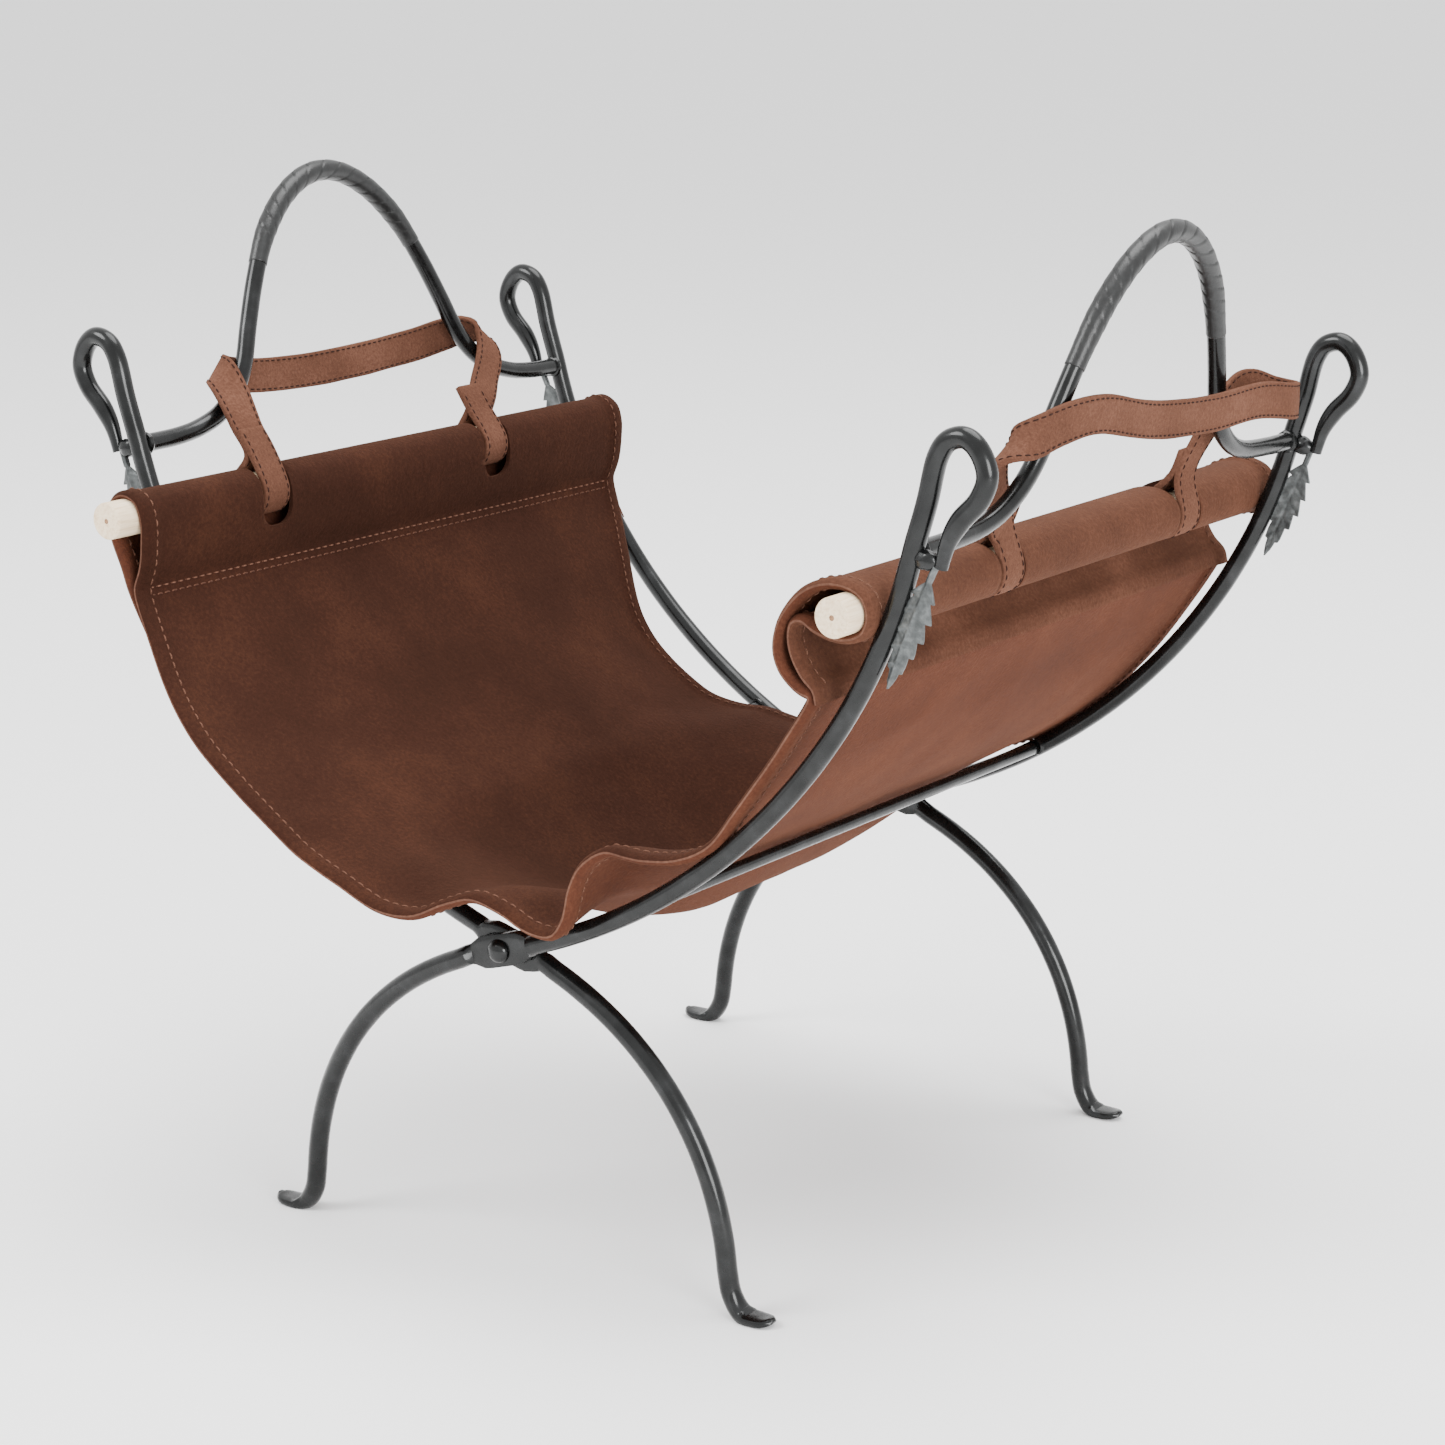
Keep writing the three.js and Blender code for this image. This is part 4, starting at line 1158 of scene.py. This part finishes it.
def tangent_angle(radius, outside, turn_sign):
    """Angle at which a taut line from an outside point meets the circle round the dowel."""
    reach = outside - DOWEL_PLACE
    return math.atan2(reach[1], reach[0]) + turn_sign * math.acos(radius / np.linalg.norm(reach))


def dowel_loop(first, second, y, width_y):
    """The loop round a dowel, from the sewn-down free end to the strap's first stretch."""
    radius = DOWEL_R + 1.5 * GAP + STRAP_T / 2
    sewn = np.array([first[0], first[2]], float)
    rise = unit(np.array([second[0], second[2]], float) - sewn)
    free_end = sewn + turn(rise) * (STRAP_T + GAP)
    start = tangent_angle(radius, free_end, 1)
    stop = tangent_angle(radius, sewn, -1) + 2 * math.pi
    turns = np.linspace(start, stop, 9)
    around = [DOWEL_PLACE + radius * np.array([math.cos(a), math.sin(a)]) for a in turns]
    tip = free_end + rise * SEWN_END
    return [[p[0], y, p[1], 0, width_y, 0] for p in [tip, free_end, *around]]


def strap_line(side):
    route, slots = (RIGHT_ROUTE, RIGHT_SLOTS) if side > 0 else (LEFT_ROUTE, LEFT_SLOTS)
    near = dowel_loop(route[0], route[1], slots[0], 1)
    far = dowel_loop(route[-1], route[-2], slots[1], -1)
    points = np.array(near + route + far[::-1], float)
    points[:, 0] *= side
    points[:, 3] *= side
    centre = spline(points[:, :3], 10)
    width = spline(points[:, 3:], 10)
    count = int(arclength(centre)[-1] / STRAP_STEP)
    s = arclength(centre)
    at = np.linspace(0, s[-1], count)
    centre = np.stack([np.interp(at, s, centre[:, k]) for k in range(3)], axis=1)
    width = np.stack([np.interp(at, s, width[:, k]) for k in range(3)], axis=1)
    for _ in range(TWIST_PASSES):
        width[1:-1] = (width[:-2] + 2 * width[1:-1] + width[2:]) / 4
    tangent = directions(centre)
    width -= tangent * np.sum(width * tangent, axis=1, keepdims=True)
    width /= np.linalg.norm(width, axis=1, keepdims=True)
    return centre, width, np.cross(tangent, width)


def strap(key):
    """Two layers of suede sewn back to back: soft edges, with the joint between the layers showing."""
    row = FRAMES[key]
    centre, width, normal = strap_line(row["sign"])
    half = STRAP_WIDTH / 2
    upper = [[-1, 0.0], [-0.985, 0.62], [-0.93, 0.96], [-0.76, 0.9], [-0.4, 1.0]]
    upper += [[0, 1.02], [0.4, 1.0], [0.76, 0.9], [0.93, 0.96], [0.985, 0.62]]
    section = upper + [[-a, -b] for a, b in upper]
    groove = 0.965
    build = Build()
    rings = []
    for k in range(len(centre)):
        ring = []
        for a, b in section:
            across = a * half * (groove if b == 0 else 1)
            wobble = 0.35 * noise.noise(Vector((k * 0.09, a * 1.3, row["sign"] * 4.0)))
            ring.append(centre[k] + width[k] * (across + wobble) + normal[k] * b * STRAP_T / 2)
        rings.append(ring)
    build.loft(rings)
    obj = build.object(f"strap_{row['side']}_suede")
    finish_piece(obj, row["body"], "strap_leather", [STRAP_SUEDE], f"strap_{row['side']}")
    thread = Build()
    for a in (-0.8, 0.8):
        for face in (1, -1):
            line = centre + width * a * half + normal * face * (STRAP_T / 2 - 0.1)
            stitches(thread, line[1:-1], normal[1:-1] * face, 4.2, 2.8, 0.38, 0.22)
    sewing = thread.object(f"strap_{row['side']}_thread")
    finish_piece(sewing, row["body"], "strap_leather", [THREAD_DARK])
    return obj


# ---- The rack ----


def camera_and_light():
    """Camera at the viewing angle that shows the sling and both handles, and soft studio light."""
    data = bpy.data.cameras.new("view")
    camera = bpy.data.objects.new("view", data)
    bpy.context.scene.collection.objects.link(camera)
    bpy.context.scene.camera = camera
    azimuth, elevation, roll = math.radians(33.26), math.radians(17.87), math.radians(-0.35)
    distance = 1717.9
    level = math.cos(elevation)
    back = Vector((math.sin(azimuth) * level, -math.cos(azimuth) * level, math.sin(elevation)))
    target = Vector((90.0, MIDDLE_Y, 133.7))
    camera.location = (target + back * distance) * MM
    turned = back.to_track_quat("Z", "Y").to_matrix() @ Matrix.Rotation(-roll, 3, "Z")
    camera.rotation_euler = turned.to_euler()
    data.sensor_width = 36.0
    data.lens = 84.5
    data.shift_x = -0.0969
    data.shift_y = 0.1544
    data.clip_end = 50

    def area(name, place, size, power, aim=(0, 0, 0.25)):
        light = bpy.data.lights.new(name, "AREA")
        light.shape = "DISK"
        light.size = size
        light.energy = power
        obj = bpy.data.objects.new(name, light)
        obj.location = place
        obj.rotation_euler = (Vector(place) - Vector(aim)).to_track_quat("Z", "Y").to_euler()
        bpy.context.scene.collection.objects.link(obj)

    area("key_softbox", (-1.4, -2.0, 2.4), 1.6, 95)
    area("fill_softbox", (2.5, -1.3, 0.9), 1.4, 85)
    area("top_softbox", (0.3, 0.6, 2.8), 2.2, 95)
    world = bpy.data.worlds.new("studio")
    world.use_nodes = True
    world.node_tree.nodes["Background"].inputs["Color"].default_value = (1, 1, 1, 1)
    world.node_tree.nodes["Background"].inputs["Strength"].default_value = 1.7
    bpy.context.scene.world = world


def floor():
    mesh = bpy.data.meshes.new("studio_floor")
    mesh.from_pydata([(-30, -30, 0), (30, -30, 0), (30, 30, 0), (-30, 30, 0)], [], [(0, 1, 2, 3)])
    obj = bpy.data.objects.new("studio_floor", mesh)
    bpy.context.scene.collection.objects.link(obj)
    settings = {"Base Color": (0.93, 0.93, 0.93, 1), "Roughness": 0.9}
    mesh.materials.append(new_material("pale_studio_floor", settings)[0])


camera_and_light()
floor()
for key in FRAMES:
    for end_name in ENDS:
        forged_bar(f"bar_{key}_{end_name}_forged", key, end_name)
        leaf(key, end_name)
    stretcher(key)
    hoop(key)
    grip_wrap(key)
    dowel(key)
for end_name in ENDS:
    rivet(end_name)
sling_grid, sling_up, sling_shares = sling()
sling_stitching(sling_grid, sling_up, sling_shares)
for key in FRAMES:
    strap(key)
